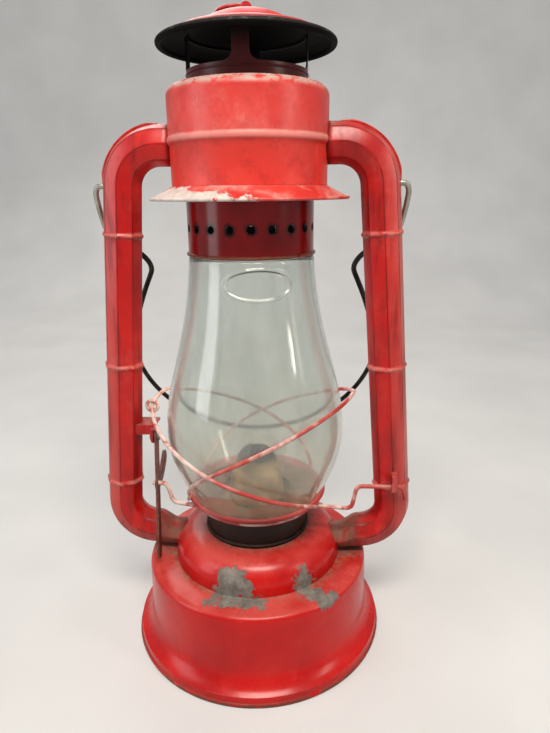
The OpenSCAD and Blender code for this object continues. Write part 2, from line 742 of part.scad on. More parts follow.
// Chimney
air_hole_h = 14.2;
air_hole_turn = -84.5;
module globe_collar() color(dark_red) difference() {
    union() {
        spun([[collar_r, collar_z + 0.9], [collar_r, collar_top], [flue_r + seam, collar_top]]);
        ring(collar_r + 0.1, collar_z + 0.9, 1.8);
    }
    for (k = [0:air_holes - 1]) rotate([0, 0, 360 * k / air_holes + air_hole_turn])
        translate([collar_r - 4, 0, collar_z + air_hole_h]) rotate([0, 90, 0])
            cylinder(r = air_hole_r, h = 8, $fn = 32);
}

window_corner = 4;
window_w = 2 * flue_r * sin(45 - asin(post_w / 2 / flue_r));
module window() {
    translate([-window_w / 2, window_z + window_corner]) square([window_w, window_h - window_corner]);
    translate([-window_w / 2 + window_corner, window_z]) square([window_w - 2 * window_corner, window_h]);
    for (x = [-1, 1]) translate([x * (window_w / 2 - window_corner), window_z + window_corner])
        circle(r = window_corner, $fn = 32);
}

module flue() color(dark_red) difference() {
    union() {
        translate([0, 0, collar_top - 1.8]) cylinder(r = flue_r, h = flue_top - collar_top + 1.8);
        translate([0, 0, collar_top - 1.8]) cylinder(r = flue_r + 1.3, h = 1.8 - sheet - seam);
        ring(flue_r - 0.1, window_z - 1.8, 1);
    }
    translate([0, 0, collar_top - 3]) cylinder(r = flue_r - sheet, h = flue_top - collar_top + 20);
    for (k = [0:3]) rotate([0, 0, 90 * k + 45]) translate([0, -5, 0]) rotate([90, 0, 0])
        linear_extrude(flue_r + 5) window();
}

brim_roll_d = 3.2;
module rain_cap() color(soot) {
    edge = cap_r - brim_roll_d / 2;
    spun(concat(
        [[edge, cap_z]],
        bezier([edge - 0.6, cap_z + 0.6], [edge - 6, cap_z + 5.4], [flue_r + 2, flue_top + seam + sheet],
               [flue_r + 0.5, flue_top + seam + sheet], 4),
        bezier([flue_r - 2, flue_top + seam + sheet], [flue_r - 10, crown_z - 3], [14, crown_z - 0.4],
               [6, crown_z], 5),
        [[0, crown_z]]));
    ring(edge, cap_z, brim_roll_d);
}

staple_r = ring_d / 2 + 0.55;
staple_d = 1.5;
staple_z = crown_z + seam + staple_r;
staple_w = 2 * (staple_r + staple_d);
module ring_staple() color(dark_red) translate([0, 0, staple_z]) rotate([90, 0, 0])
    linear_extrude(staple_d, center = true) difference() {
        union() {
            circle(d = staple_w);
            translate([-staple_w / 2, -staple_r]) square([staple_w, staple_r]);
        }
        circle(r = staple_r);
        translate([-staple_r, -2 * staple_r]) square([2 * staple_r, 2 * staple_r]);
        translate([-staple_w, -3 * staple_r]) square([2 * staple_w, 2 * staple_r]);
    }

ring_lean = 6;
module lift_ring() color(dark_red)
    translate([0, 0, staple_z]) rotate([0, -ring_lean, 0]) translate([-ring_r, 0, 0])
        rotate_extrude() translate([ring_r, 0]) circle(d = ring_d, $fn = 32);

// Spring round the flue, one unbroken coil
spring_d = 1.6;
spring_turns = 6;
spring_r = (flue_r + drum_r - sheet) / 2 - 1;
spring_low = collar_top + seam + spring_d / 2;
spring_high = drum_top - drum_slope_h - sheet - 2 * seam - spring_d / 2;
turn_steps = 24;
spring_steps = turn_steps * spring_turns;
spring_path = [for (i = [0:spring_steps]) let (a = 360 * i / turn_steps, t = i / spring_steps)
    [spring_r * cos(a), spring_r * sin(a), spring_low + (spring_high - spring_low) * t]];
spring_gap = min([for (i = [0:spring_steps - turn_steps])
    norm(spring_path[i] - spring_path[i + turn_steps])]) - spring_d;
echo(spring_gap = spring_gap);
module chimney_spring() color(steel) wire(spring_path, spring_d, 6);

// Bail, drawn in its own plane as distance to the side and distance from the pivot, then leaned back
arch_c = bail_l - arch_r;
bail_side = concat(
    rounded([[pin_x + 1.2, 0], [pin_x + 4.6, 3], [pin_x + 4.4, 12], [pin_x + 2.8, 28],
             [arch_r - 16.5, 41], [arch_r - 20.5, 49], [arch_r - 12, 68], [arch_r - 1, arch_c - 6]], 9),
    arc([0, arch_c], arch_r, 4, 90, 14));
bail_outline = concat(bail_side, [for (p = reverse(bail_side)) if (p[0] > 0.01) [-p[0], p[1]]]);
bail_path = [for (p = bail_outline)
    [p[0] - bail_skew * p[1], p[1] * sin(bail_lean), pivot_z - p[1] * cos(bail_lean)]];
module bail() color(steel) {
    wire(bail_path, bail_d);
    for (side = [-1, 1]) translate([side * (pin_x - pin_in / 2 + 1), 0, pivot_z]) rotate([0, 90, 0])
        cylinder(r = pin_r, h = pin_in + 2, center = true, $fn = 48);
}

tank_shell();
tank_bottom();
filler_neck();
filler_cap();
filler_gasket();
air_chamber();
burner_collar();
burner_ring();
burner_body();
burner_deck();
burner_cone();
wick_tube();
wick();
wick_shaft();
wick_wheels();
wick_knob();
globe_plate();
cross_wire();
left_guard();
right_guard();
lift_rod();
globe();
lift_lever();
lever_bracket();
lever_rivet();
wire_keeper();
left_tube();
right_tube();
bell_drum();
bell_skirt();
chimney_spring();
globe_collar();
flue();
rain_cap();
ring_staple();
lift_ring();
bail();
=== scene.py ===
# %% [markdown]
# # Dressing a hurricane lantern
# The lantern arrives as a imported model: every piece already has its place and its joint. This lesson
# leaves those pieces where they are, gives each one an aged finish, and builds finer wires, tubes and
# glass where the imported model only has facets.

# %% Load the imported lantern
from math import cos, exp, hypot, pi, radians, sin

import bmesh
import bpy
from mathutils import Matrix, Vector


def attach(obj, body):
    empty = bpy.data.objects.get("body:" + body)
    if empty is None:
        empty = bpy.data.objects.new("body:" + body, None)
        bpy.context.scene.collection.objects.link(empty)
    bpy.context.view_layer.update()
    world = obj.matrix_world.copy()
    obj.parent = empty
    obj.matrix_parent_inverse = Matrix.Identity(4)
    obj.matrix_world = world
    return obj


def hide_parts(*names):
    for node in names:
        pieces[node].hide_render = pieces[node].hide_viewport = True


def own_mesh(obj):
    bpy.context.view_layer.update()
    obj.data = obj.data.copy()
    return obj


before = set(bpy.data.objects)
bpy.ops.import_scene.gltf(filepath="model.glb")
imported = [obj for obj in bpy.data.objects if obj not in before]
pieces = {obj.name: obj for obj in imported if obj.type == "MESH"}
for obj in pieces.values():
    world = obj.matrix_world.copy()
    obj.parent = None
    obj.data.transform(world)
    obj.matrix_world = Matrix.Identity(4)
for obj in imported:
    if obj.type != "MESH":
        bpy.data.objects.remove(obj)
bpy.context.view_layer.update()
scene = bpy.context.scene
MM = 0.001
print("loaded", len(pieces), "pieces")

# %% [markdown]
# ## Helpers for colour and nodes
# Paint colours are written as sRGB hex codes, the way a paint chart or a browser shows them, but shaders
# count in linear light. One function converts them. Another adds a shader node, sets it and links it,
# so that a material reads as a list of layers.

# %% Colour and node helpers
SOFT = {"interpolation_type": "SMOOTHSTEP"}
COLOURS = {"data_type": "RGBA"}
PLUS, MINUS, TIMES = ({"operation": name} for name in ("ADD", "SUBTRACT", "MULTIPLY"))
LARGER = {"operation": "MAXIMUM"}
HEAP = {"operation": "MULTIPLY_ADD", "use_clamp": True}


def ink(code):
    """Linear colour of an sRGB hex code."""
    channels = [int(code[i:i + 2], 16) / 255 for i in (1, 3, 5)]
    return [c / 12.92 if c <= 0.04045 else ((c + 0.055) / 1.055) ** 2.4 for c in channels] + [1.0]


def per_mm(size):
    """Texture scale that makes a pattern this many millimetres wide."""
    return 1 / (size * MM)


def add(tree, kind, wires=None, out=0, stops=None, **settings):
    """Adds one node, sets and links it, and returns one of its outputs."""
    node = tree.nodes.new("ShaderNode" + kind)
    for name, value in settings.items():
        setattr(node, name, value)
    for name, value in (wires or {}).items():
        if isinstance(value, bpy.types.NodeSocket):
            tree.links.new(value, node.inputs[name])
        else:
            node.inputs[name].default_value = value
    for i, (place, code) in enumerate(stops or []):
        elements = node.color_ramp.elements
        stop = elements[i] if i < 2 else elements.new(place)
        stop.position = place
        stop.color = ink(code)
    return node.outputs[out]


def feed(tree, shader, wires):
    """Links outputs of nodes to the shader's sockets."""
    for name, output in wires.items():
        tree.links.new(output, shader.inputs[name])


def start_finish(name, **constants):
    """A new material with its node tree and its shader, whose constant sockets are set at once."""
    finish = bpy.data.materials.new(name)
    finish.use_nodes = True
    shader = finish.node_tree.nodes["Principled BSDF"]
    for socket, value in constants.items():
        shader.inputs[socket.replace("_", " ")].default_value = value
    return finish, finish.node_tree, shader


print("red enamel in linear light:", [round(c, 3) for c in ink("#b3100f")])

# %% [markdown]
# ## The camera
# The photograph was taken from close by, a little above the middle and looking down. The camera stands on
# the same spot, found by matching rims and tube ends to their places in the picture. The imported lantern
# keeps its own axes, so the camera goes round it by a few degrees instead.

# %% Place the camera
IMAGE_HEIGHT = 733
FOCAL_PIXELS = 560
CAMERA_DISTANCE = 305 * MM
CAMERA_HEIGHT = 262 * MM
TURN, PITCH, YAW, ROLL = (radians(a) for a in (5.5, 17.4, 2.24, -0.65))

ahead = Vector((sin(YAW) * cos(PITCH), cos(YAW) * cos(PITCH), -sin(PITCH)))
level = ahead.cross(Vector((0, 0, 1))).normalized()
upright = level.cross(ahead)
right = level * cos(ROLL) + upright * sin(ROLL)
up = upright * cos(ROLL) - level * sin(ROLL)
facing = Matrix((right, up, -ahead)).transposed().to_4x4()
camera = bpy.data.objects.new("camera", bpy.data.cameras.new("camera"))
camera.data.sensor_width = 36
camera.data.lens = FOCAL_PIXELS / IMAGE_HEIGHT * camera.data.sensor_width
camera.data.clip_start = 0.01
stand = Matrix.Translation((0, -CAMERA_DISTANCE, CAMERA_HEIGHT))
camera.matrix_world = Matrix.Rotation(TURN, 4, "Z") @ stand @ facing
scene.collection.objects.link(camera)
scene.camera = camera
print("camera at", [round(c, 3) for c in camera.matrix_world.translation])

# %% [markdown]
# ## The floor
# A pale sheet of studio paper that curves up into a backdrop gives the lantern a quiet ground and keeps its
# shadow. It is one strip mesh: flat, then a quarter round, then upright. To the camera, and in glass and
# paint, the paper also glows a little, so that it looks pale without more light on the lantern.

# %% Build the floor
FLOOR_HALF = 2.2
BACKDROP_START = 0.75
BACKDROP_RADIUS = 0.6
BACKDROP_HEIGHT = 2.6
BEND_STRIPS = 16
PAPER_GLOW = 0.48


def seen_rays(tree):
    """1 for rays from the camera, from a gloss or through glass, and 0 for light that falls on things."""
    rays = tree.nodes.new("ShaderNodeLightPath").outputs
    seen = add(tree, "Math", {0: rays["Is Camera Ray"], 1: rays["Is Glossy Ray"]}, **LARGER)
    return add(tree, "Math", {0: seen, 1: rays["Is Transmission Ray"]}, **LARGER)


sweep_line = [(-FLOOR_HALF, 0.0), (BACKDROP_START, 0.0)]
for i in range(1, BEND_STRIPS + 1):
    a = radians(90 * i / BEND_STRIPS)
    sweep_line.append((BACKDROP_START + BACKDROP_RADIUS * sin(a), BACKDROP_RADIUS * (1 - cos(a))))
sweep_line.append((BACKDROP_START + BACKDROP_RADIUS, BACKDROP_HEIGHT))
corners = [(x, y, z) for y, z in sweep_line for x in (-FLOOR_HALF, FLOOR_HALF)]
strips = [(i, i + 1, i + 3, i + 2) for i in range(0, len(corners) - 2, 2)]
floor_mesh = bpy.data.meshes.new("floor")
floor_mesh.from_pydata(corners, [], strips)
floor_mesh.polygons.foreach_set("use_smooth", [True] * len(strips))
floor = bpy.data.objects.new("floor", floor_mesh)
scene.collection.objects.link(floor)
paper, tree, shader = start_finish("studio paper, matt", Roughness=0.9)
place = add(tree, "TexCoord", out=3)
mottle = add(tree, "TexNoise", {"Vector": place, "Scale": per_mm(120), "Detail": 3})
tone = add(tree, "ValToRGB", {"Fac": mottle}, stops=[(0.3, "#b6b5b3"), (0.7, "#bebdbb")])
glow = add(tree, "Math", {0: seen_rays(tree), 1: PAPER_GLOW}, **TIMES)
feed(tree, shader, {"Base Color": tone, "Emission Color": tone, "Emission Strength": glow})
floor_mesh.materials.append(paper)
print("floor made of", len(strips), "strips")

# %% [markdown]
# ## The light
# Four lamps do what the room did. One hangs close by, high in front, so the hood is brighter than the tank
# and the tank's upright wall is darker than its shoulder. A broad one on the left gives a faint sheen, and
# a slim one on the right draws the narrow streak down the glass. A soft one behind keeps the rear from
# going dark. The world fills the shadows, and like the paper it is paler to the eye than to the lantern.

# %% Hang the lamps
LAMPS = [
    ("overhead_lamp", (0.06, -0.42, 0.85), (0.0, 0.0, 0.15), 0.45, 0.16, 6.8, "#fff6ea"),
    ("left_lamp", (-0.95, -0.44, 0.50), (0.0, 0.0, 0.20), 0.40, 0.90, 4.2, "#f4f6fa"),
    ("right_lamp", (0.90, -0.42, 0.55), (0.0, 0.0, 0.20), 0.08, 0.50, 2.3, "#fff4e8"),
    ("rear_lamp", (-0.30, 0.95, 0.95), (0.0, 0.0, 0.18), 0.60, 0.60, 5.0, "#fdf8f2"),
]
WORLD_FILL, WORLD_SEEN = 0.23, 0.6
for name, spot, aim, width, height, watts, tint in LAMPS:
    lamp = bpy.data.lights.new(name, "AREA")
    lamp.shape = "RECTANGLE"
    lamp.size = width
    lamp.size_y = height
    lamp.energy = watts
    lamp.color = ink(tint)[:3]
    holder = bpy.data.objects.new(name, lamp)
    holder.location = spot
    holder.rotation_euler = (Vector(aim) - Vector(spot)).to_track_quat("-Z", "Y").to_euler()
    scene.collection.objects.link(holder)

world = bpy.data.worlds.new("studio")
world.use_nodes = True
scene.world = world
tree = world.node_tree
sky = tree.nodes["Background"]
sky.inputs["Color"].default_value = ink("#dfe4ea")
glow = add(tree, "MapRange", {0: seen_rays(tree), 3: WORLD_FILL, 4: WORLD_SEEN})
feed(tree, sky, {"Strength": glow})
scene.view_settings.view_transform = "Standard"
print("hung", len(LAMPS), "lamps")

# %% [markdown]
# ## A coat of enamel
# The lantern's sheet steel was sprayed with enamel and then used for decades, so what the eye gets is
# layers. A coat starts as paint in three reds that drift over a few centimetres, and it keeps measures of
# each spot: its height, its radius, how far it faces up or out, how open it is, and two noises. Each later
# layer is a tint and the measures that say where it lies. Laying it on changes the colour, makes the place
# duller, and may sink it below the paint.

# %% Start, layer and close a coat
DENTS, PEEL, CHIP_DEPTH = 0.4 * MM, 0.05 * MM, 0.12 * MM
DULL_ROUGHNESS = 0.8


def start_coat(name, reds, gloss, shine=0.5):
    """Fresh enamel; reds go from the deepest to the palest, gloss is its roughness, shine its reflection."""
    finish, tree, shader = start_finish(name, Specular_IOR_Level=shine)
    coords = tree.nodes.new("ShaderNodeTexCoord").outputs
    place, normal = coords["Object"], coords["Normal"]
    broad = add(tree, "TexNoise", {"Vector": place, "Scale": per_mm(38), "Detail": 5, "Roughness": 0.6})
    fine = add(tree, "TexNoise", {"Vector": place, "Scale": per_mm(5), "Detail": 6, "Roughness": 0.65})
    flat = add(tree, "VectorMath", {0: place, 1: (1, 1, 0)}, **TIMES)
    return {
        "finish": finish, "tree": tree, "shader": shader, "gloss": gloss, "dull": 0.0, "sunk": 0.0,
        "place": place, "broad": broad, "fine": fine,
        "height": add(tree, "SeparateXYZ", {"Vector": place}, 2),
        "lying": add(tree, "SeparateXYZ", {"Vector": normal}, 2),
        "radius": add(tree, "VectorMath", {0: flat}, 1, operation="LENGTH"),
        "outward": add(tree, "VectorMath", {0: normal, 1: flat}, 1, operation="DOT_PRODUCT"),
        "open": add(tree, "AmbientOcclusion", {"Distance": 9 * MM}, 1, samples=6),
        "colour": add(tree, "ValToRGB", {"Fac": broad}, stops=list(zip((0.3, 0.52, 0.74), reds))),
    }


def lay_on(coat, where, tint, dull=0.5, sunk=0.0):
    """Lays a tint on the coat where all the given measures agree, and notes where it is dull or sunk.

    A row of where holds a measure, its value where the layer ends, its value where the layer is full, how
    much is laid on there, and, if the rest isn't left bare, how much is laid on the rest.
    """
    tree = coat["tree"]
    mask = None
    for measure, end, full, most, *least in where:
        spread = {0: coat[measure], 1: end, 2: full, 3: least[0] if least else 0.0, 4: most}
        share = add(tree, "MapRange", spread, **SOFT)
        mask = share if mask is None else add(tree, "Math", {0: mask, 1: share}, **TIMES)
    tint = ink(tint) if isinstance(tint, str) else tint
    coat["colour"] = add(tree, "Mix", {0: mask, 6: coat["colour"], 7: tint}, 2, **COLOURS)
    for layer, amount in (("dull", dull), ("sunk", sunk)):
        coat[layer] = add(tree, "Math", {0: mask, 1: amount, 2: coat[layer]}, **HEAP)


def close_coat(coat):
    """Joins the layers to the shader and returns the finish."""
    tree, shader, gloss = coat["tree"], coat["shader"], coat["gloss"]
    shine = add(tree, "MapRange", {0: coat["fine"], 3: gloss - 0.03, 4: gloss + 0.07})
    rough = add(tree, "Mix", {0: coat["dull"], 2: shine, 3: DULL_ROUGHNESS})
    dents = add(tree, "Bump", {"Strength": 0.14, "Distance": DENTS, "Height": coat["broad"]})
    peel = add(tree, "Bump", {"Strength": 0.08, "Distance": PEEL, "Height": coat["fine"], "Normal": dents})
    below = {"Strength": 0.7, "Distance": CHIP_DEPTH, "Height": coat["sunk"], "Normal": peel}
    chips = add(tree, "Bump", below, invert=True)
    feed(tree, shader, {"Base Color": coat["colour"], "Roughness": rough, "Normal": chips})
    return coat["finish"]


print("a coat holds its colour, its dullness and how far it is sunk")

# %% [markdown]
# ## What age does to it
# Light and hands leave a chalky bloom, rubbing bares the edges, dust settles on what faces up beside a
# joint, and dirt with painted shade darkens the corners. A bevel node finds the edges, because it rounds
# the normal there, and ambient occlusion finds the corners. Both work on any mesh, so no mask has to be
# painted.

# %% Age a coat
def age(coat, bloom, wear, dust, grime_and_shade, pale="#d9645a", worn="#a8735f", dirt="#93765c"):
    """Lays on bloom, scratches, worn edges, nicks, dust, and dirt with painted shade in corners; the four
    amounts go from 0 to 1.
    """
    tree, place = coat["tree"], coat["place"]
    cloud = {"Vector": place, "Scale": per_mm(17), "Detail": 7, "Roughness": 0.7}
    coat["cloud"] = add(tree, "TexNoise", cloud)
    streak = add(tree, "Mapping", {"Vector": place, "Rotation": (0.5, 0.3, 0.4), "Scale": (1, 1, 0.08)})
    coat["scratch"] = add(tree, "TexNoise", {"Vector": streak, "Scale": per_mm(1.6), "Detail": 2})
    rounded = add(tree, "Bevel", {"Radius": 1.0 * MM}, samples=4)
    straight = add(tree, "NewGeometry", out=1)
    coat["flatness"] = add(tree, "VectorMath", {0: straight, 1: rounded}, 1, operation="DOT_PRODUCT")
    coat["specks"] = add(tree, "TexNoise", {"Vector": place, "Scale": per_mm(1.8), "Detail": 3})
    grains = add(tree, "ValToRGB", {"Fac": coat["specks"]}, stops=[(0.35, "#4d3d30"), (0.6, dirt)])

    lay_on(coat, [("cloud", 0.5, 0.75, bloom)], pale, dull=0.3)
    lay_on(coat, [("scratch", 0.70, 0.74, 0.5), ("cloud", 0.5, 0.62, 1)], pale, dull=0.3, sunk=0.4)
    rubbed = [("flatness", 0.98, 0.90, wear), ("open", 0.45, 0.75, 1), ("fine", 0.48, 0.56, 1)]
    lay_on(coat, rubbed, worn, dull=0.7, sunk=1.0)
    lay_on(coat, [("specks", 0.72, 0.76, 0.8), ("broad", 0.45, 0.6, 1)], "#3a1511", dull=0.4, sunk=1.0)
    settled = [("open", 0.93, 0.6, 1), ("lying", 0.3, 0.85, dust), ("fine", 0.36, 0.58, 1)]
    lay_on(coat, settled, grains, dull=0.9)
    # Corners found by ambient occlusion are darkened: partly dirt, partly painted shade.
    lay_on(coat, [("open", 0.62, 0.25, grime_and_shade), ("fine", 0.2, 0.5, 1)], "#2a1a14", dull=0.8)


print("ageing lays on bloom, scratches, worn edges, nicks, dust and grime")

# %% [markdown]
# ## Where the paint is gone
# Enamel comes off in flakes with ragged outlines. A flake is drawn as a few overlapping discs, given in
# millimetres, and noise is added to the distance from them, so that the outline wanders and small islands
# of paint stay behind.

# %% Flake the paint off
def flake(coat, discs, shades, ragged):
    """Shows what is under the paint inside the discs (x, y, z, radius), whose outline strays."""
    tree, place = coat["tree"], coat["place"]
    stray = add(tree, "TexNoise", {"Vector": place, "Scale": per_mm(9), "Detail": 12, "Roughness": 0.76})
    nearest = None
    for x, y, z, radius in discs:
        away = add(tree, "VectorMath", {0: place, 1: (x * MM, y * MM, z * MM)}, 1, operation="DISTANCE")
        depth = add(tree, "Math", {0: away, 1: radius * MM}, **MINUS)
        if nearest is not None:
            depth = add(tree, "Math", {0: nearest, 1: depth}, operation="MINIMUM")
        nearest = depth
    wander = add(tree, "MapRange", {0: stray, 1: 0.3, 2: 0.7, 3: -ragged * MM, 4: ragged * MM})
    coat["outline"] = add(tree, "Math", {0: nearest, 1: wander}, **PLUS)
    bare = add(tree, "ValToRGB", {"Fac": coat["fine"]}, stops=list(zip((0.3, 0.5, 0.7), shades)))
    lay_on(coat, [("outline", 0.5 * MM, -0.3 * MM, 1)], bare, dull=0.75, sunk=1.0)


print("flakes are ready")

# %% [markdown]
# ## Enamel of the tank and the air chamber
# Both are one deep red with a wet shine. The chamber lost two patches to bare tinplate, which run over the
# joint on to the shoulder. A pale pink film on the upward faces of the chamber and the shoulder is partly
# dust and partly painted sheen, and the rolled rim at the foot is rubbed brown all round.

# %% Mix the tank enamel
RED = ("#a90b0a", "#c0100e", "#cf1a14")
TIN = ("#57534b", "#76716a", "#918b80")
TANK_FLAKES = [
    (-14, -46.5, 58, 6.5), (-7, -47, 60, 6), (-3, -49, 57, 5), (-13, -48.5, 52, 7),
    (-21, -53, 49.5, 4.5), (-12, -54, 49.5, 5.5), (-3, -55, 49.5, 5), (5, -55, 49.5, 3.5),
    (27.5, -41, 56.5, 4.5), (30, -39.5, 53, 5), (34, -45, 49.5, 5.5), (39, -50, 49.5, 5),
    (43.5, -49, 48.8, 4),
]
TANK_WALL, SHOULDER = 36 * MM, 46 * MM
RIM_TOP, RIM_SIDE = 3.4 * MM, 1.6 * MM
coat = start_coat("red enamel on tinplate, flaked", RED, gloss=0.22, shine=0.3)
age(coat, bloom=0.15, wear=0.25, dust=0.9, grime_and_shade=0.8)
# Upward faces are paled pink: partly dust, partly a painted sheen from above.
film = [("lying", 0.45, 0.95, 0.36), ("height", TANK_WALL, SHOULDER, 1), ("broad", 0.35, 0.6, 1, 0.3)]
lay_on(coat, film, "#c9756b", dull=0.15)
lay_on(coat, [("height", RIM_TOP, RIM_SIDE, 1), ("fine", 0.35, 0.55, 1)], "#6d3526", sunk=0.6)
flake(coat, TANK_FLAKES, TIN, ragged=6)
tank_enamel = close_coat(coat)
print("tank enamel with", len(TANK_FLAKES), "discs of bare tinplate")

# %% [markdown]
# ## Enamel of the hood and the skirt
# The hood stood nearest to the heat, so its red is faded and stained in clouds, and painted brighter below
# its bead as painted light. Its top edge is rubbed pale, and a painted highlight runs along the bead. On the
# skirt's front left the red has come away down to a grey primer, in one long ragged patch that thins out.

# %% Mix the hood enamels
PRIMER = ("#b3a59c", "#cbbfb7", "#dad0c9")
SKIRT_FLAKES = [
    (-50.5, -6, 258.6, 6), (-48, -15, 259.2, 7.5), (-43, -24, 259.6, 8), (-37, -32, 259.6, 8),
    (-30, -39, 259.4, 8), (-23, -43.5, 259, 7.5), (-15, -47, 258.6, 6.5), (-7, -49.5, 258.3, 5),
    (2, -50.5, 258.2, 3),
]
HOOD_BEAD, BELOW_BEAD = 286.4 * MM, (286 * MM, 281 * MM)
FADED = ("#b8231d", "#ca332b", "#d84a3f")
coat = start_coat("red enamel on sheet steel, faded", FADED, gloss=0.36)
tree = coat["tree"]
age(coat, bloom=0.45, wear=0.35, dust=1.0, grime_and_shade=0.7, pale="#da786d", worn="#c08a78", dirt="#b09782")
stain = {"Vector": coat["place"], "Scale": per_mm(13), "Detail": 8, "Roughness": 0.7}
coat["stain"] = add(tree, "TexNoise", stain)
off_bead = add(tree, "Math", {0: coat["height"], 1: HOOD_BEAD}, **MINUS)
coat["off bead"] = add(tree, "Math", {0: off_bead}, operation="ABSOLUTE")
lay_on(coat, [("lying", 0.12, 0.6, 0.8), ("fine", 0.37, 0.54, 1)], "#b5a79b")
# Below the bead the red is painted brighter, as painted light on the hood's lower half.
lay_on(coat, [("height", *BELOW_BEAD, 0.7)], "#e63a2d", dull=0.0)
lay_on(coat, [("stain", 0.48, 0.66, 0.55)], "#ad231d", dull=0.1)
# A pale pink line along the bead is a painted highlight.
lay_on(coat, [("off bead", 2.2 * MM, 0.6 * MM, 0.6)], "#e59a8f", dull=0.2)
hood_enamel = close_coat(coat)

coat = start_coat("red enamel over grey primer", FADED, gloss=0.38)
age(coat, bloom=0.75, wear=0.4, dust=0.3, grime_and_shade=0.5, pale="#e0a59b", worn="#d3a898")
flake(coat, SKIRT_FLAKES, PRIMER, ragged=5)
skirt_enamel = close_coat(coat)
print("skirt enamel with", len(SKIRT_FLAKES), "discs of primer")

# %% [markdown]
# ## Enamel of the side tubes
# The tubes are handled most. Their red is a little deeper, with long dark smears down the legs, a darker
# red low on the legs, and dirt where the lower bends run into the chamber. The smears are noise stretched
# eight times along the height. The sides that face out are a paler pink, partly dust and partly painted
# sheen. The beads stick out, so they are rubbed pale. They repeat at even heights, which a ping-pong can
# find. Dark lines of painted shade run along the eight folds: the tube's mesh, built further down, marks
# them with an attribute called fold.

# %% Mix the tube enamel
TUBE_RED = ("#9c0b0a", "#b9100d", "#c91b15")
LOW_BEAD, BEAD_STEP = 95.4, 72.5
LEG_MIDDLE, LEG_LOW = 200 * MM, 110 * MM
coat = start_coat("red enamel on pressed tube, smeared", TUBE_RED, gloss=0.28, shine=0.4)
tree = coat["tree"]
age(coat, bloom=0.25, wear=0.5, dust=0.8, grime_and_shade=0.9)
long_way = add(tree, "Mapping", {"Vector": coat["place"], "Scale": (1, 1, 0.125)})
smear = {"Vector": long_way, "Scale": per_mm(6), "Detail": 5, "Roughness": 0.6}
coat["smear"] = add(tree, "TexNoise", smear)
coat["fold"] = add(tree, "Attribute", out=2, attribute_name="fold")
beat = add(tree, "Math", {0: coat["height"], 1: BEAD_STEP * MM}, operation="DIVIDE")
beat = add(tree, "Math", {0: beat, 1: LOW_BEAD / BEAD_STEP}, **MINUS)
coat["off bead"] = add(tree, "Math", {0: beat, 1: 0.5}, operation="PINGPONG")
lay_on(coat, [("smear", 0.5, 0.7, 0.65)], "#5c0d0a", dull=0.3)
# The legs turn a darker red lower down.
lay_on(coat, [("height", LEG_MIDDLE, LEG_LOW, 0.5), ("smear", 0.35, 0.6, 1)], "#7a120d", dull=0.15)
# The outward sides are painted a paler pink: partly dust, partly painted sheen.
lay_on(coat, [("outward", 20 * MM, 55 * MM, 0.42), ("smear", 0.65, 0.4, 1, 0.3)], "#d0766b", dull=0.2)
# Dark lines along the eight folds are painted shade, so that the facets read crisp.
lay_on(coat, [("fold", 0.05, 0.6, 0.85), ("smear", 0.36, 0.5, 1, 0.35)], "#4d0e0b", dull=0.3)
mud = [("radius", 67 * MM, 55 * MM, 1), ("height", 82 * MM, 70 * MM, 0.7), ("fine", 0.36, 0.55, 1)]
lay_on(coat, mud, "#6f5a48", dull=0.9)
lay_on(coat, [("off bead", 2.0 / BEAD_STEP, 0.8 / BEAD_STEP, 0.6), ("fine", 0.36, 0.6, 1)], "#cd7c70")
tube_enamel = close_coat(coat)
print("tube enamel with beads every", BEAD_STEP, "mm")

# %% [markdown]
# ## Enamel of the chimney and the cap
# The chimney is a darker, glossier red. Smoke has blackened it from inside and from above: soot lies on
# every face that looks at the axis, above the windows and round the air holes. The cap's crown kept its
# red, while its rolled edge and its underside are black. Height, radius and the normal draw these zones.

# %% Mix the chimney enamels
SOOT = "#040303"
INSIDE = [("outward", -2 * MM, -12 * MM, 1)]
DARK_RED = ("#650606", "#840b0a", "#9c1512")
SMOKED_RED = ("#3d0504", "#560807", "#6b0f0d")
COLLAR_RADIUS, AIR_HOLE_HEIGHT = 33.2 * MM, 244.3 * MM
AIR_HOLE_STEP, AIR_HOLE_TURN = radians(18), radians(-84.5)
COLLAR_EDGE = (232.2 * MM, 231.2 * MM)
SMOKE_FROM, SMOKE_FULL = 320 * MM, 331 * MM
coat = start_coat("dark red enamel, fired glossy, smoked", DARK_RED, gloss=0.17, shine=0.3)
tree = coat["tree"]
age(coat, bloom=0.08, wear=0.35, dust=0.3, grime_and_shade=0.8, pale="#8a3b33", worn="#6d4537")
x, y = (add(tree, "SeparateXYZ", {"Vector": coat["place"]}, axis) for axis in (0, 1))
turn = add(tree, "Math", {0: y, 1: x}, operation="ARCTAN2")
turn = add(tree, "Math", {0: turn, 1: AIR_HOLE_TURN}, **MINUS)
turn = add(tree, "Math", {0: turn, 1: AIR_HOLE_STEP / 2}, operation="PINGPONG")
along = add(tree, "Math", {0: turn, 1: COLLAR_RADIUS}, **TIMES)
above = add(tree, "Math", {0: coat["height"], 1: AIR_HOLE_HEIGHT}, **MINUS)
spot = add(tree, "CombineXYZ", {"X": along, "Y": above})
away = add(tree, "VectorMath", {0: spot}, 1, operation="LENGTH")
wander = add(tree, "MapRange", {0: coat["fine"], 3: -2 * MM, 4: 2 * MM})
coat["off hole"] = add(tree, "Math", {0: away, 1: wander}, **PLUS)
lay_on(coat, [("off hole", 4.2 * MM, 1.8 * MM, 0.9)], SOOT, dull=0.0)
lay_on(coat, [("height", *COLLAR_EDGE, 0.8), ("fine", 0.3, 0.55, 1)], "#6b4a32")
lay_on(coat, INSIDE, SOOT, dull=0.9)
chimney_enamel = close_coat(coat)

coat = start_coat("dark red enamel, sooted inside", SMOKED_RED, gloss=0.3, shine=0.25)
age(coat, bloom=0.1, wear=0.35, dust=0.3, grime_and_shade=0.8, pale="#8a3b33", worn="#6d4537")
lay_on(coat, INSIDE, SOOT, dull=0.9)
lay_on(coat, [("height", SMOKE_FROM, SMOKE_FULL, 1)], SOOT, dull=0.9)
flue_enamel = close_coat(coat)

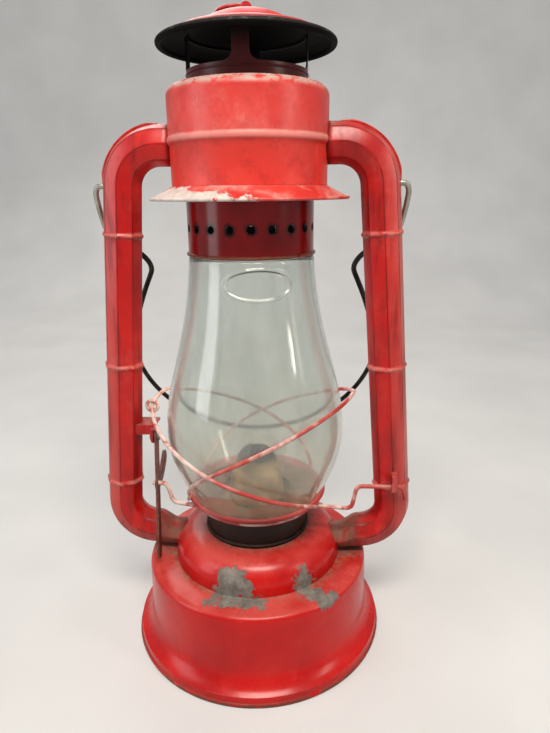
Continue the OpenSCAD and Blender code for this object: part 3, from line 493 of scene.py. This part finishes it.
coat = start_coat("red enamel, blackened from below", RED, gloss=0.36, shine=0.12)
tree = coat["tree"]
age(coat, bloom=0.7, wear=0.3, dust=0.4, grime_and_shade=0.6, pale="#d67a71")
wander = add(tree, "MapRange", {0: coat["fine"], 3: -3 * MM, 4: 3 * MM})
coat["edge way"] = add(tree, "Math", {0: coat["radius"], 1: wander}, **PLUS)
stops = [(0.35, "#14110f"), (0.55, "#221d1a"), (0.75, "#5a5048")]
rolled = add(tree, "ValToRGB", {"Fac": coat["fine"]}, stops=stops)
lay_on(coat, [("edge way", 36 * MM, 40 * MM, 1)], rolled, dull=0.35)
lay_on(coat, [("lying", 0.2, -0.1, 1)], SOOT, dull=0.9)
cap_enamel = close_coat(coat)
print("soot above", round(SMOKE_FROM / MM), "mm, on the cap's edge and on all inner faces")

# %% [markdown]
# ## Enamel of the throat, the wires and the lever
# The throat under the globe is black-brown with lamp dirt. The guard and lift wires are rubbed down to pale
# primer along half their length, most of all on the lever's side, where a hand takes hold of them. The
# plate that carries the globe is red at its rim, but lamp oil has browned it inside the glass. The lever
# has mostly rusted.

# %% Mix the small enamels
coat = start_coat("sooted enamel with brown grime", ("#140d08", "#20160f", "#342317"), gloss=0.45, shine=0.25)
age(coat, bloom=0.1, wear=0.3, dust=0.8, grime_and_shade=0.6, pale="#5a4436", worn="#5d4a3d", dirt="#5a4736")
throat_enamel = close_coat(coat)

coat = start_coat("red enamel on wire, rubbed", ("#93201d", "#ad332e", "#c04e47"), gloss=0.36)
tree = coat["tree"]
age(coat, bloom=0.6, wear=0.3, dust=0.4, grime_and_shade=0.5, pale="#cf8578")
drift = add(tree, "TexNoise", {"Vector": coat["place"], "Scale": per_mm(21), "Detail": 4})
across = add(tree, "SeparateXYZ", {"Vector": coat["place"]}, 0)
held = add(tree, "MapRange", {0: across, 1: -12 * MM, 2: -28 * MM, 4: 0.2}, **SOFT)
coat["stretch"] = add(tree, "Math", {0: drift, 1: held}, **PLUS)
lay_on(coat, [("stretch", 0.43, 0.58, 0.9), ("fine", 0.34, 0.56, 1)], "#dcc8bd", sunk=0.5)
wire_enamel = close_coat(coat)

PLATE_RIM, UNDER_GLASS = 38.6 * MM, 37.4 * MM
coat = start_coat("red enamel, browned inside the globe", ("#7d1410", "#98201a", "#ab332a"), gloss=0.36)
age(coat, bloom=0.5, wear=0.4, dust=0.3, grime_and_shade=0.7, pale="#cf8578")
stops = [(0.3, "#3b2c21"), (0.5, "#5f4a39"), (0.72, "#7f6752")]
browned = add(coat["tree"], "ValToRGB", {"Fac": coat["fine"]}, stops=stops)
lay_on(coat, [("radius", PLATE_RIM, UNDER_GLASS, 1)], browned, dull=0.8)
plate_enamel = close_coat(coat)

coat = start_coat("red enamel on strip steel, rusting", ("#37150f", "#55231a", "#74382b"), gloss=0.48)
age(coat, bloom=0.5, wear=0.6, dust=0.5, grime_and_shade=0.7, pale="#8d5a49", worn="#a07a66", dirt="#7d5c49")
lever_enamel = close_coat(coat)
print("mixed the throat, wire, plate and lever enamels")

# %% [markdown]
# ## Metals
# The burner is spun brass that heat and oil have browned, with a cone that the flame has blackened at the
# top. The spring, shaft and rivet are drawn steel. Each starts from the usual colour of the metal. A cloudy
# noise the size of the tarnish moves colour and roughness together, and the closed corners go nearly black.

# %% Make the metals
def aged_metal(name, stops, grain, rough, tarnish, bare, smoke=None):
    """A metal that tarnishes in clouds; bare is how much shows as metal, smoke where it turns black."""
    finish, tree, shader = start_finish(name, Metallic=bare)
    place = add(tree, "TexCoord", out=3)
    cloud = add(tree, "TexNoise", {"Vector": place, "Scale": per_mm(grain), "Detail": 6, "Roughness": 0.65})
    grit = add(tree, "TexNoise", {"Vector": place, "Scale": per_mm(0.9), "Detail": 3})
    colour = add(tree, "ValToRGB", {"Fac": cloud}, stops=stops)
    closed = add(tree, "AmbientOcclusion", {"Distance": 6 * MM}, 1, samples=6)
    deep = add(tree, "MapRange", {0: closed, 1: 0.85, 2: 0.3, 4: 0.85}, **SOFT)
    colour = add(tree, "Mix", {0: deep, 6: colour, 7: ink(tarnish)}, 2, **COLOURS)
    if smoke:
        height = add(tree, "SeparateXYZ", {"Vector": place}, 2)
        wander = add(tree, "Math", {0: cloud, 1: 10 * MM, 2: height}, operation="MULTIPLY_ADD")
        black = add(tree, "MapRange", {0: wander, 1: smoke * MM, 2: (smoke + 6) * MM}, **SOFT)
        colour = add(tree, "Mix", {0: black, 6: colour, 7: ink(SOOT)}, 2, **COLOURS)
    shine = add(tree, "MapRange", {0: cloud, 3: rough[0], 4: rough[1]})
    pits = add(tree, "Bump", {"Strength": 0.3, "Distance": 0.06 * MM, "Height": grit})
    feed(tree, shader, {"Base Color": colour, "Roughness": shine, "Normal": pits})
    return finish


brass = aged_metal("brass, browned by heat", [(0.3, "#523a1f"), (0.5, "#8f6d3c"), (0.75, "#c0a06a")], 7,
                   (0.35, 0.6), "#20150c", 0.6)
sooted_brass = aged_metal("brass, sooted by the flame",
                          [(0.3, "#513b20"), (0.5, "#86683d"), (0.75, "#bd9f6c")], 9, (0.45, 0.7),
                          "#20150c", 0.4, smoke=112)
plain_steel = aged_metal("steel, cold drawn", [(0.3, "#5c5854"), (0.55, "#7c7771"), (0.8, "#928c85")], 6,
                         (0.3, 0.55), "#2c211a", 1.0)
print("mixed brass and steel")

# %% [markdown]
# ## The bail's wire
# The bail is one zinc-plated wire. Its ends by the pivots are still pale grey, and the arch, which hands
# have held, has gone dark. Height along the piece decides between the two, with noise at the border.

# %% Make the galvanised wire
ZINC_FROM, ZINC_FULL = 234 * MM, 246 * MM
bail_steel, tree, shader = start_finish("steel wire, zinc left at the ends", Metallic=0.9)
place = add(tree, "TexCoord", out=3)
height = add(tree, "SeparateXYZ", {"Vector": place}, 2)
cloud = add(tree, "TexNoise", {"Vector": place, "Scale": per_mm(8), "Detail": 6, "Roughness": 0.65})
wander = add(tree, "MapRange", {0: cloud, 3: -10 * MM, 4: 10 * MM})
zone = add(tree, "Math", {0: height, 1: wander}, **PLUS)
plated = add(tree, "MapRange", {0: zone, 1: ZINC_FROM, 2: ZINC_FULL}, **SOFT)
old = add(tree, "ValToRGB", {"Fac": cloud}, stops=[(0.35, "#232120"), (0.55, "#35312e"), (0.75, "#57504a")])
zinc = add(tree, "ValToRGB", {"Fac": cloud}, stops=[(0.35, "#8c8a80"), (0.55, "#aba99e"), (0.75, "#c6c3b8")])
colour = add(tree, "Mix", {0: plated, 6: old, 7: zinc}, 2, **COLOURS)
rough = add(tree, "MapRange", {0: cloud, 3: 0.35, 4: 0.6})
pits = add(tree, "Bump", {"Strength": 0.25, "Distance": 0.08 * MM, "Height": cloud})
feed(tree, shader, {"Base Color": colour, "Roughness": rough, "Normal": pits})
print("zinc is left above about", round((ZINC_FROM + ZINC_FULL) / 2 / MM), "mm")

# %% [markdown]
# ## Wick and washer
# A wick is woven cotton tape, charred where it burns, and the filler cap seals on a leather washer. The
# weave is a wave texture, whose ribs are drawn 1.2 mm wide so that they still show. At scale 1 such a
# texture has about 6.3 bands, light and dark ones, in each metre.

# %% Make the wick and the washer
BANDS_AT_ONE = 6.3
CHAR_FROM, CHAR_FULL = 107 * MM, 111 * MM
wick_cotton, tree, shader = start_finish("cotton wick, woven and charred", Roughness=0.95)
place = add(tree, "TexCoord", out=3)
yarn = {"Vector": place, "Scale": per_mm(1.2) / BANDS_AT_ONE, "Distortion": 1.5}
ribs = add(tree, "TexWave", yarn, bands_direction="Y")
height = add(tree, "SeparateXYZ", {"Vector": place}, 2)
char = add(tree, "MapRange", {0: height, 1: CHAR_FROM, 2: CHAR_FULL}, **SOFT)
weave = add(tree, "ValToRGB", {"Fac": ribs}, stops=[(0.2, "#a89878"), (0.8, "#d6c8a8")])
burnt = add(tree, "Mix", {0: char, 6: weave, 7: ink("#17120f")}, 2, **COLOURS)
tape = add(tree, "Bump", {"Strength": 0.6, "Distance": 0.2 * MM, "Height": ribs})
feed(tree, shader, {"Base Color": burnt, "Normal": tape})

washer_leather, tree, shader = start_finish("leather washer, oiled", Roughness=0.7)
place = add(tree, "TexCoord", out=3)
pores = add(tree, "TexVoronoi", {"Vector": place, "Scale": per_mm(0.8)})
hide = add(tree, "ValToRGB", {"Fac": pores}, stops=[(0.0, "#3a2615"), (0.7, "#5d4027")])
feed(tree, shader, {"Base Color": hide})
print("wick and washer ready")

# %% [markdown]
# ## Hazy globe glass
# The globe is pressed soda glass. It is clear, but decades of lamp smoke and dust have left a film that is
# thickest low down, so the burner shows through as if in light fog. Lowering the transmission where the
# film lies, and leaving the rest clear, keeps it one shader that can travel with the model.

# %% Make the glass
GLASS_IOR = 1.5
globe_finish, tree, shader = start_finish("soda glass, filmed with dust", IOR=GLASS_IOR)
place = add(tree, "TexCoord", out=3)
height = add(tree, "SeparateXYZ", {"Vector": place}, 2)
streak = add(tree, "Mapping", {"Vector": place, "Scale": (1, 1, 0.25)})
film = add(tree, "TexNoise", {"Vector": streak, "Scale": per_mm(16), "Detail": 6, "Roughness": 0.6})
specks = add(tree, "TexNoise", {"Vector": place, "Scale": per_mm(1.5), "Detail": 2})
low = add(tree, "MapRange", {0: height, 1: 225 * MM, 2: 100 * MM, 3: 0.06, 4: 0.125})
patchy = add(tree, "MapRange", {0: film, 1: 0.3, 2: 0.72, 3: 0.4, 4: 1.5})
haze = add(tree, "Math", {0: low, 1: patchy}, **TIMES)
fleck = add(tree, "MapRange", {0: specks, 1: 0.7, 2: 0.76, 4: 0.3}, **SOFT)
haze = add(tree, "Math", {0: haze, 1: fleck}, **LARGER)
clear = add(tree, "Math", {0: 1.0, 1: haze}, **MINUS)
brown = add(tree, "MapRange", {0: height, 1: 150 * MM, 2: 95 * MM}, **SOFT)
dust = add(tree, "Mix", {0: brown, 6: ink("#c3c8c0"), 7: ink("#b5aa95")}, 2, **COLOURS)
thick = add(tree, "MapRange", {0: haze, 2: 0.2})
tint = add(tree, "Mix", {0: thick, 6: ink("#f2f6f3"), 7: dust}, 2, **COLOURS)
rough = add(tree, "MapRange", {0: film, 3: 0.02, 4: 0.12})
feed(tree, shader, {"Base Color": tint, "Transmission Weight": clear, "Roughness": rough})
print("glass with IOR", GLASS_IOR)

# %% [markdown]
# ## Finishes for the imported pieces
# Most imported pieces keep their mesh. A weld and an edge split let curved sheet shade smoothly while true
# edges stay crisp, without touching the vertices themselves.

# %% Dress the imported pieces
FINISHES = {}
for finish, names in (
        (tank_enamel, "tank_shell tank_bottom air_chamber"),
        (hood_enamel, "bell_drum"), (skirt_enamel, "bell_skirt"),
        (tube_enamel, "left_tube right_tube lever_bracket lift_ring ring_staple"),
        (chimney_enamel, "globe_collar"), (flue_enamel, "flue"), (cap_enamel, "rain_cap"),
        (throat_enamel, "burner_collar"), (plate_enamel, "globe_plate"), (lever_enamel, "lift_lever"),
        (wire_enamel, "left_guard right_guard cross_wire lift_rod wire_keeper"),
        (sooted_brass, "burner_cone"), (plain_steel, "chimney_spring wick_shaft lever_rivet"),
        (bail_steel, "bail"), (globe_finish, "globe"), (wick_cotton, "wick"),
        (washer_leather, "filler_gasket")):
    FINISHES.update(dict.fromkeys(names.split(), finish))
SMOOTH_ANGLE = radians(32)
for name, piece in pieces.items():
    piece.data.materials.clear()
    piece.data.materials.append(FINISHES.get(name, brass))
    piece.data.polygons.foreach_set("use_smooth", [True] * len(piece.data.polygons))
    weld = piece.modifiers.new("weld", "WELD")
    weld.merge_threshold = 0.002 * MM
    crisp = piece.modifiers.new("crisp", "EDGE_SPLIT")
    crisp.split_angle = SMOOTH_ANGLE
print("dressed", len(pieces), "pieces;", len(pieces) - len(FINISHES), "of them in brass")

# %% [markdown]
# ## Finer pieces
# Tubes and wires are all sweeps: rings of points, one after another along a line, joined by faces and
# closed at both ends. Working in millimetres keeps the numbers readable. Every finer piece then rides on
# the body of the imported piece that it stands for, and hides it.

# %% Build a piece from rings
def join_rings(rings):
    """Points and faces of a closed skin over equal rings."""
    count = len(rings[0])
    points = [p for ring in rings for p in ring]
    faces = [tuple(range(count)), tuple(range(len(points) - count, len(points)))]
    for start in range(0, len(points) - count, count):
        for k in range(count):
            n = (k + 1) % count
            faces.append((start + k, start + n, start + count + n, start + count + k))
    return points, faces


def place_piece(name, skins, body, node, folds=()):
    """Makes one object of skins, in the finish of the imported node; folds are points of the first skin."""
    shape = bmesh.new()
    fold = shape.verts.layers.float.new("fold")
    for points, faces in skins:
        corners = [shape.verts.new(Vector(p) * MM) for p in points]
        for face in faces:
            shape.faces.new([corners[i] for i in face]).smooth = True
    shape.verts.ensure_lookup_table()
    for i in folds:
        shape.verts[i][fold] = 1
    bmesh.ops.recalc_face_normals(shape, faces=shape.faces)
    mesh = bpy.data.meshes.new(name)
    shape.to_mesh(mesh)
    shape.free()
    mesh.materials.append(FINISHES[node])
    piece = bpy.data.objects.new(name, mesh)
    scene.collection.objects.link(piece)
    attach(piece, body)
    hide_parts(node)
    print(name, "has", len(mesh.polygons), "faces")
    return piece


print("pieces are built from rings of points")

# %% [markdown]
# ## The side tubes
# Each tube was pressed from sheet as two halves: eight-sided, with soft corners, three beads down the leg
# and a folded seam round the upper bend. Its lower end is squeezed flat to enter the air chamber. The right
# tube is built from its centre line, and the left one is its mirror image.

# %% Draw the tube's rings
TUBE_HALF, FLAT_HALF, CORNER = 10.5, 7.0, 1.1
SPLAY = radians(4.6)
UPPER_CENTRE, UPPER_BEND = Vector((46.214, 263.9)), 20.9
LOWER_CENTRE, LOWER_BEND = Vector((62.322, 81.2)), 19.5
DRUM_END, DRUM_WALL, CHAMBER_END, FLAT_FROM, FLAT_HEIGHT = 38.5, 42.4, 39.0, 50.32, 58.2
BEADS, BEAD_HALF, BEAD_OUT = (25.35, 98.09, 170.82), 1.9, 0.9
LEG_LENGTH = 183.41
SOFT_STEPS, MIDDLE_STEP = (0, 0.3, 0.5, 0.7, 1), 2
BEND_STEPS, LEG_STEPS, BEAD_STEPS, FLAT_STEPS, FIN_STEPS = 24, 30, 6, 10, 32


def tube_ring(centre, out, half=TUBE_HALF, across=TUBE_HALF):
    """Eight-sided ring with soft corners; half is its half size along out, across the one along y."""
    eight = [Vector((half * cos(k * pi / 4), across * sin(k * pi / 4))) for k in range(8)]
    ring = []
    for k, v in enumerate(eight):
        before = v + CORNER * (eight[k - 1] - v).normalized()
        after = v + CORNER * (eight[(k + 1) % 8] - v).normalized()
        for t in SOFT_STEPS:
            soft = (1 - t) ** 2 * before + 2 * t * (1 - t) * v + t * t * after
            ring.append((centre.x + soft.x * out.x, soft.y, centre.y + soft.x * out.y))
    return ring


def bead(s):
    """How far the tube stands out at a distance down the leg."""
    near = min(abs(s - b) for b in BEADS) / BEAD_HALF
    return BEAD_OUT * (0.5 + 0.5 * cos(pi * min(near, 1)))


def leg_stops():
    """Distances down the leg where a ring is wanted, close together at the beads."""
    even = [LEG_LENGTH * i / LEG_STEPS for i in range(1, LEG_STEPS)]
    close = [b + BEAD_HALF * i / BEAD_STEPS for b in BEADS for i in range(-BEAD_STEPS, BEAD_STEPS + 1)]
    return sorted([s for s in even if min(abs(s - b) for b in BEADS) > BEAD_HALF + 0.5] + close)


def right_tube_rings():
    """Rings of the right tube, from the hood down to the air chamber."""
    start = UPPER_CENTRE.y + UPPER_BEND
    rings = [tube_ring(Vector((x, start)), Vector((0, 1))) for x in (DRUM_END, DRUM_WALL)]
    for i in range(BEND_STEPS + 1):
        a = pi / 2 + (SPLAY - pi / 2) * i / BEND_STEPS
        out = Vector((cos(a), sin(a)))
        rings.append(tube_ring(UPPER_CENTRE + UPPER_BEND * out, out))
    out = Vector((cos(SPLAY), sin(SPLAY)))
    down = Vector((sin(SPLAY), -cos(SPLAY)))
    for s in leg_stops():
        wide = TUBE_HALF + bead(s)
        rings.append(tube_ring(UPPER_CENTRE + UPPER_BEND * out + s * down, out, wide, wide))
    for i in range(BEND_STEPS + 1):
        a = SPLAY - (pi / 2 + SPLAY) * i / BEND_STEPS
        out = Vector((cos(a), sin(a)))
        rings.append(tube_ring(LOWER_CENTRE + LOWER_BEND * out, out))
    foot = LOWER_CENTRE.y - LOWER_BEND
    for i in range(1, FLAT_STEPS + 1):
        t = i / FLAT_STEPS
        ease = t * t * (3 - 2 * t)
        along = LOWER_CENTRE.x + (FLAT_FROM - LOWER_CENTRE.x) * t
        centre = Vector((along, foot + (FLAT_HEIGHT - foot) * ease))
        rings.append(tube_ring(centre, Vector((0, -1)), TUBE_HALF + (FLAT_HALF - TUBE_HALF) * ease))
    rings.append(tube_ring(Vector((CHAMBER_END, FLAT_HEIGHT)), Vector((0, -1)), FLAT_HALF))
    return rings


tube_rings = right_tube_rings()
print("a tube has", len(tube_rings), "rings of", len(tube_rings[0]), "points")

# %% [markdown]
# The folded seam stands up along the outside of the upper bend. It is a thin sweep of its own, low at both
# ends, and is joined into the tube's object.

# %% Place the tubes
FIN_OUT, FIN_ROOT, FIN_HALF, FIN_SUNK, FIN_SLOPE = 0.9, 0.6, 0.45, 0.05, 8


def fin_rings():
    """Rings of the folded seam round the outside of the upper bend."""
    rings = []
    for i in range(FIN_STEPS + 1):
        t = i / FIN_STEPS
        a = pi / 2 + (SPLAY - pi / 2) * t
        out = Vector((cos(a), sin(a)))
        tall = FIN_OUT * min(1, FIN_SLOPE * t, FIN_SLOPE * (1 - t)) - FIN_SUNK
        base = UPPER_BEND + TUBE_HALF
        ring = []
        half = [(-FIN_ROOT, 1), (0.6 * tall, 1), (tall, 0.5)]
        for rise, side in [(rise, -side) for rise, side in half] + half[::-1]:
            p = UPPER_CENTRE + (base + rise) * out
            ring.append((p.x, side * FIN_HALF, p.y))
        rings.append(ring)
    return rings


for name, node, side in (("right_air_tube", "right_tube", 1), ("left_air_tube", "left_tube", -1)):
    skins = []
    for rings in (tube_rings, fin_rings()):
        skins.append(join_rings([[(side * x, y, z) for x, y, z in ring] for ring in rings]))
    folds = range(MIDDLE_STEP, len(skins[0][0]), len(SOFT_STEPS))
    place_piece(name, skins, "frame", node, folds)

# %% [markdown]
# ## Wires
# A wire is a round sweep along a path. The ring is carried from point to point and only tilted, never
# twisted, so the mesh stays even in three dimensions. The two ends are rounded, as cut wire is after years
# of use.

# %% Sweep a wire
def swept_wire(path, thick, sides=14):
    """Skin of a round wire along a path of points, with rounded ends."""
    points = [Vector(p) for p in path]
    radius = thick / 2
    last = len(points) - 1
    first_way = (points[1] - points[0]).normalized()
    last_way = (points[last] - points[last - 1]).normalized()
    ends = ((0.02, 0.45), (0.12 * radius, 0.8), (0.5 * radius, 1.0))
    stations = [(points[0] + inset * first_way, share) for inset, share in ends]
    stations += [(p, 1.0) for p in points[1:last]]
    stations += [(points[last] - inset * last_way, share) for inset, share in ends[::-1]]
    side = Vector((0.3, 0.5, 0.81))
    rings = []
    for i, (spot, share) in enumerate(stations):
        way = (stations[min(i + 1, len(stations) - 1)][0] - stations[max(i - 1, 0)][0]).normalized()
        side = (side - side.dot(way) * way).normalized()
        other = way.cross(side)
        turns = [2 * pi * k / sides for k in range(sides)]
        rings.append([spot + radius * share * (cos(a) * side + sin(a) * other) for a in turns])
    return join_rings(rings)


def soft_corners(points, reach, steps=8):
    """The same path with each corner rounded."""
    path = [Vector(points[0])]
    for before, here, after in zip(points, points[1:], points[2:]):
        here = Vector(here)
        back, on = Vector(before) - here, Vector(after) - here
        r = min(reach, back.length / 2.1, on.length / 2.1)
        for k in range(steps + 1):
            t = k / steps
            path.append(here + r * ((1 - t) ** 2 * back.normalized() + t * t * on.normalized()))
    return path + [Vector(points[-1])]


print("wires have rounded ends")

# %% [markdown]
# ## The bail
# The bail hangs behind the lantern. Each end goes through the tube's wall, turns up outside it, bends in
# to clear the globe's guard and then runs into the arch. It is drawn flat, as distance to the side and
# distance from the pivot, and then leaned back.

# %% Bend the bail
PIN, PIVOT_HEIGHT = 77.57, 265.3
ARCH, ARCH_FROM, LEAN, SKEW = 78.0, 105.0, radians(23.5), 0.04
BAIL_THICK, ARCH_STEPS = 3.0, 36
bail_side = [v.to_2d() for v in soft_corners([(x, y, 0) for x, y in (
    (PIN - 4.9, 0), (PIN + 2.9, 0), (PIN + 4.6, 4), (PIN + 4.4, 12), (PIN + 2.8, 28),
    (ARCH - 16.5, 41), (ARCH - 20.5, 49), (ARCH - 12, 68), (ARCH - 1, ARCH_FROM - 6))], 9)]
bail_side += [Vector((ARCH * cos(a), ARCH_FROM + ARCH * sin(a)))
              for a in (radians(4 + 86 * i / ARCH_STEPS) for i in range(ARCH_STEPS + 1))]
flat_bail = bail_side + [Vector((-p.x, p.y)) for p in reversed(bail_side[:-1])]
bail_path = [(p.x - SKEW * p.y, p.y * sin(LEAN), PIVOT_HEIGHT - p.y * cos(LEAN)) for p in flat_bail]
place_piece("bail_wire", [swept_wire(bail_path, BAIL_THICK)], "bail", "bail")

# %% [markdown]
# ## The globe
# The globe is blown into a mould, so it is a turned shape: a foot, a belly, and a long neck. Rings of points
# follow its outline up the outside and down the inside, with rounded lips. A plain raised oval stands on
# the front of the neck, where the mould had a field, so points lie closer together there. Clear glass
# hardly casts a shadow, so the globe casts none, and lamp light reaches the burner.

# %% Turn the globe
GLOBE_FOOT, GLOBE_TOP, GLASS = 88.8, 229.8, 2.4
OVAL_TURN, OVAL_HEIGHT, OVAL_HALF, OVAL_TALL = radians(-79), 218.1, 17.3, 7.6
OVAL_RISE, OVAL_LINE, OVAL_FROM = 0.8, 0.75, 208.2
LIP_IN, LIP_DOWN = 0.35, 0.3
FRONT_STEPS, REAR_STEPS = 55, 90


def curve(a, b, c, d, count):
    """Points on a cubic curve."""
    a, b, c, d = (Vector(p) for p in (a, b, c, d))
    ts = [i / count for i in range(count + 1)]
    return [(1 - t) ** 3 * a + 3 * (1 - t) ** 2 * t * b + 3 * (1 - t) * t * t * c + t ** 3 * d for t in ts]


globe_line = curve((37.6, GLOBE_FOOT), (38.5, 92.8), (51, 109.8), (51, 130.8), 60)
globe_line += curve((51, 130.8), (51, 160.8), (35.5, 184.8), (33.4, GLOBE_TOP), 140)[1:]


def globe_radius(z):
    """Outer radius of the glass at a height."""
    z = min(max(z, GLOBE_FOOT), GLOBE_TOP)
    for low, high in zip(globe_line, globe_line[1:]):
        if z <= high.y:
            return low.x + (high.x - low.x) * (z - low.y) / (high.y - low.y)
    return globe_line[-1].x


def oval(turn, z, radius):
    """Rise of the moulded oval above the glass."""
    across, along = (turn - OVAL_TURN) * radius, z - OVAL_HEIGHT
    ring = hypot(across / OVAL_HALF, along / OVAL_TALL)
    steep = hypot(across / OVAL_HALF ** 2, along / OVAL_TALL ** 2) / max(ring, 0.01)
    return OVAL_RISE * exp(-((ring - 1) / (steep * OVAL_LINE)) ** 2)


def globe_rings():
    """Rings from the inner lip of the foot, up the outside, over the top lip and down the inside."""
    turns = [OVAL_TURN + radians(0.6 * i) for i in range(-FRONT_STEPS, FRONT_STEPS + 1)]
    rest = 2 * pi - turns[-1] + turns[0]
    turns += [turns[-1] + rest * i / REAR_STEPS for i in range(1, REAR_STEPS)]
    heights = [GLOBE_FOOT + 1 + 2.4 * i for i in range(50)] + [OVAL_FROM + 0.4 * i for i in range(51)]
    rows = []
    for z in heights:
        r = globe_radius(z)
        rows.append([(r + (oval(t, z, r) if z >= OVAL_FROM else 0), z) for t in turns])
    lip, foot = globe_radius(GLOBE_TOP), globe_radius(GLOBE_FOOT)
    inner = [(lip - LIP_IN, GLOBE_TOP - LIP_DOWN), (lip - GLASS / 2, GLOBE_TOP)]
    inner.append((lip - GLASS + LIP_IN, GLOBE_TOP - LIP_DOWN))
    for z in [GLOBE_TOP - 1 - 2.5 * i for i in range(56)] + [GLOBE_FOOT + 1]:
        slope = globe_radius(z + 0.5) - globe_radius(z - 0.5)
        inner.append((globe_radius(z) - GLASS * hypot(1, slope), z))
    inner += [(foot - GLASS + LIP_IN, GLOBE_FOOT + LIP_DOWN), (foot - GLASS / 2, GLOBE_FOOT)]
    inner.append((foot - LIP_IN, GLOBE_FOOT + LIP_DOWN))
    rows += [[spot] * len(turns) for spot in inner]
    return [[(r * cos(t), r * sin(t), z) for (r, z), t in zip(row, turns)] for row in rows]


rings = globe_rings()
points, faces = join_rings(rings + rings[:1])
count = len(rings[0])
faces = [tuple(i % (len(rings) * count) for i in face) for face in faces[2:]]
globe_glass = place_piece("globe_glass", [(points[:-count], faces)], "carriage", "globe")
globe_glass.visible_shadow = False

# %% [markdown]
# ## Guard wires and lift wire
# Two wire loops guard the globe. Each starts at a corner beside it, and its two strands run round the
# front and the back, down to the rim of the globe's plate, a wire's width off the glass. The lift wire
# goes from the lever under the front of the plate to its keeper on the right tube.

# %% Bend the guards and the lift wire
GUARD_THICK, LIFT_THICK, RIM, RIM_HEIGHT, EYE_HEIGHT = 2.2, 2.5, 40.2, 91.1, 142.2
STEPS, RISE_SHARE, APART_SHARE = 66, 0.15, 0.4


def strand(corner, high, start, turn, gap, power):
    """One strand, from its corner up to its height, round the globe and down to the rim."""
    path = []
    for i in range(STEPS + 1):
        u = i / STEPS
        rise = (high - corner[1]) * max(0, 1 - u / RISE_SHARE) ** 2
        z = high - (high - RIM_HEIGHT) * u ** power - rise
        near = max(globe_radius(z), RIM + 1.2 - gap) + gap + GUARD_THICK / 2 + 0.1
        r = near + (corner[0] - near) * max(0, 1 - u / APART_SHARE) ** 2
        a = radians(start + turn * u)
        path.append((r * cos(a), r * sin(a), z))
    return path


def guard(corner, back_high, start, turn, gap, powers):
    """Path of a whole loop: the front strand backwards, then the back strand."""
    front = strand(corner, corner[1], start, turn, gap, powers[0])
    back = strand(corner, back_high, start, -turn, gap, powers[1])
    return front[::-1] + back[1:]


for node, path in (
        ("left_guard", guard((60.6, EYE_HEIGHT + 0.6), EYE_HEIGHT + 9, 180, 146, 3.0, (1.25, 1.3))),
        ("right_guard", guard((57, EYE_HEIGHT + 10), EYE_HEIGHT + 10, 0, -154, 0.5, (2.2, 1.2)))):
    place_piece(node + "_wire", [swept_wire(path, GUARD_THICK)], "carriage", node)

WIRE_Y, WIRE_HEIGHT, UNDER_PLATE, UNDER_RADIUS, HOOK = -14.25, 99.2, 86.6, 36.0, 85.93


def under_plate(degrees):
    """Point of the lift wire under the globe's plate."""
    a = radians(degrees)
    return (UNDER_RADIUS * cos(a), UNDER_RADIUS * sin(a), UNDER_PLATE)


lift_path = soft_corners([(-60.2, WIRE_Y, WIRE_HEIGHT), (-51.5, WIRE_Y, WIRE_HEIGHT),
                          (-48.5, WIRE_Y, UNDER_PLATE), under_plate(210), under_plate(220)], 3.5)
lift_path += [Vector(under_plate(a)) for a in range(225, 325, 5)]
lift_path += soft_corners([under_plate(328), under_plate(336), (56.5, WIRE_Y, UNDER_PLATE - 2),
                           (59.2, WIRE_Y, WIRE_HEIGHT), (HOOK, WIRE_Y, WIRE_HEIGHT),
                           (HOOK + 1.5, WIRE_Y, WIRE_HEIGHT - 9)], 3.5)
place_piece("lift_wire", [swept_wire(lift_path, LIFT_THICK)], "carriage", "cross_wire")

# %% [markdown]
# ## The chimney spring
# A coil round the flue presses the chimney down on the globe. It can't follow a rigid body when the
# chimney is lifted; here it rides on the frame and gets a mesh of its own. Its lower end leaves room for the
# globe's own lift, because a piece can be squashed by one joint only. Its upper end is held by the hood, and
# its lower end leaves room for the globe's own lift.

# %% Wind the spring
COIL_RADIUS, COIL_THICK, COIL_HIGH, COIL_TURNS = 33.6, 1.6, 309.1, 6
SEAT, GLOBE_LIFT, CHIMNEY_LIFT = 258.7, 5, 20
COIL_LOW = SEAT + GLOBE_LIFT
coil_steps = 36 * COIL_TURNS
coil_path = []
for i in range(coil_steps + 1):
    a = 2 * pi * COIL_TURNS * i / coil_steps
    z = COIL_LOW + (COIL_HIGH - COIL_LOW) * i / coil_steps
    coil_path.append((COIL_RADIUS * cos(a), COIL_RADIUS * sin(a), z))
coil_skin = swept_wire(coil_path, COIL_THICK, 10)
coil = place_piece("chimney_coil", [coil_skin], "frame", "chimney_spring")
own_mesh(coil)
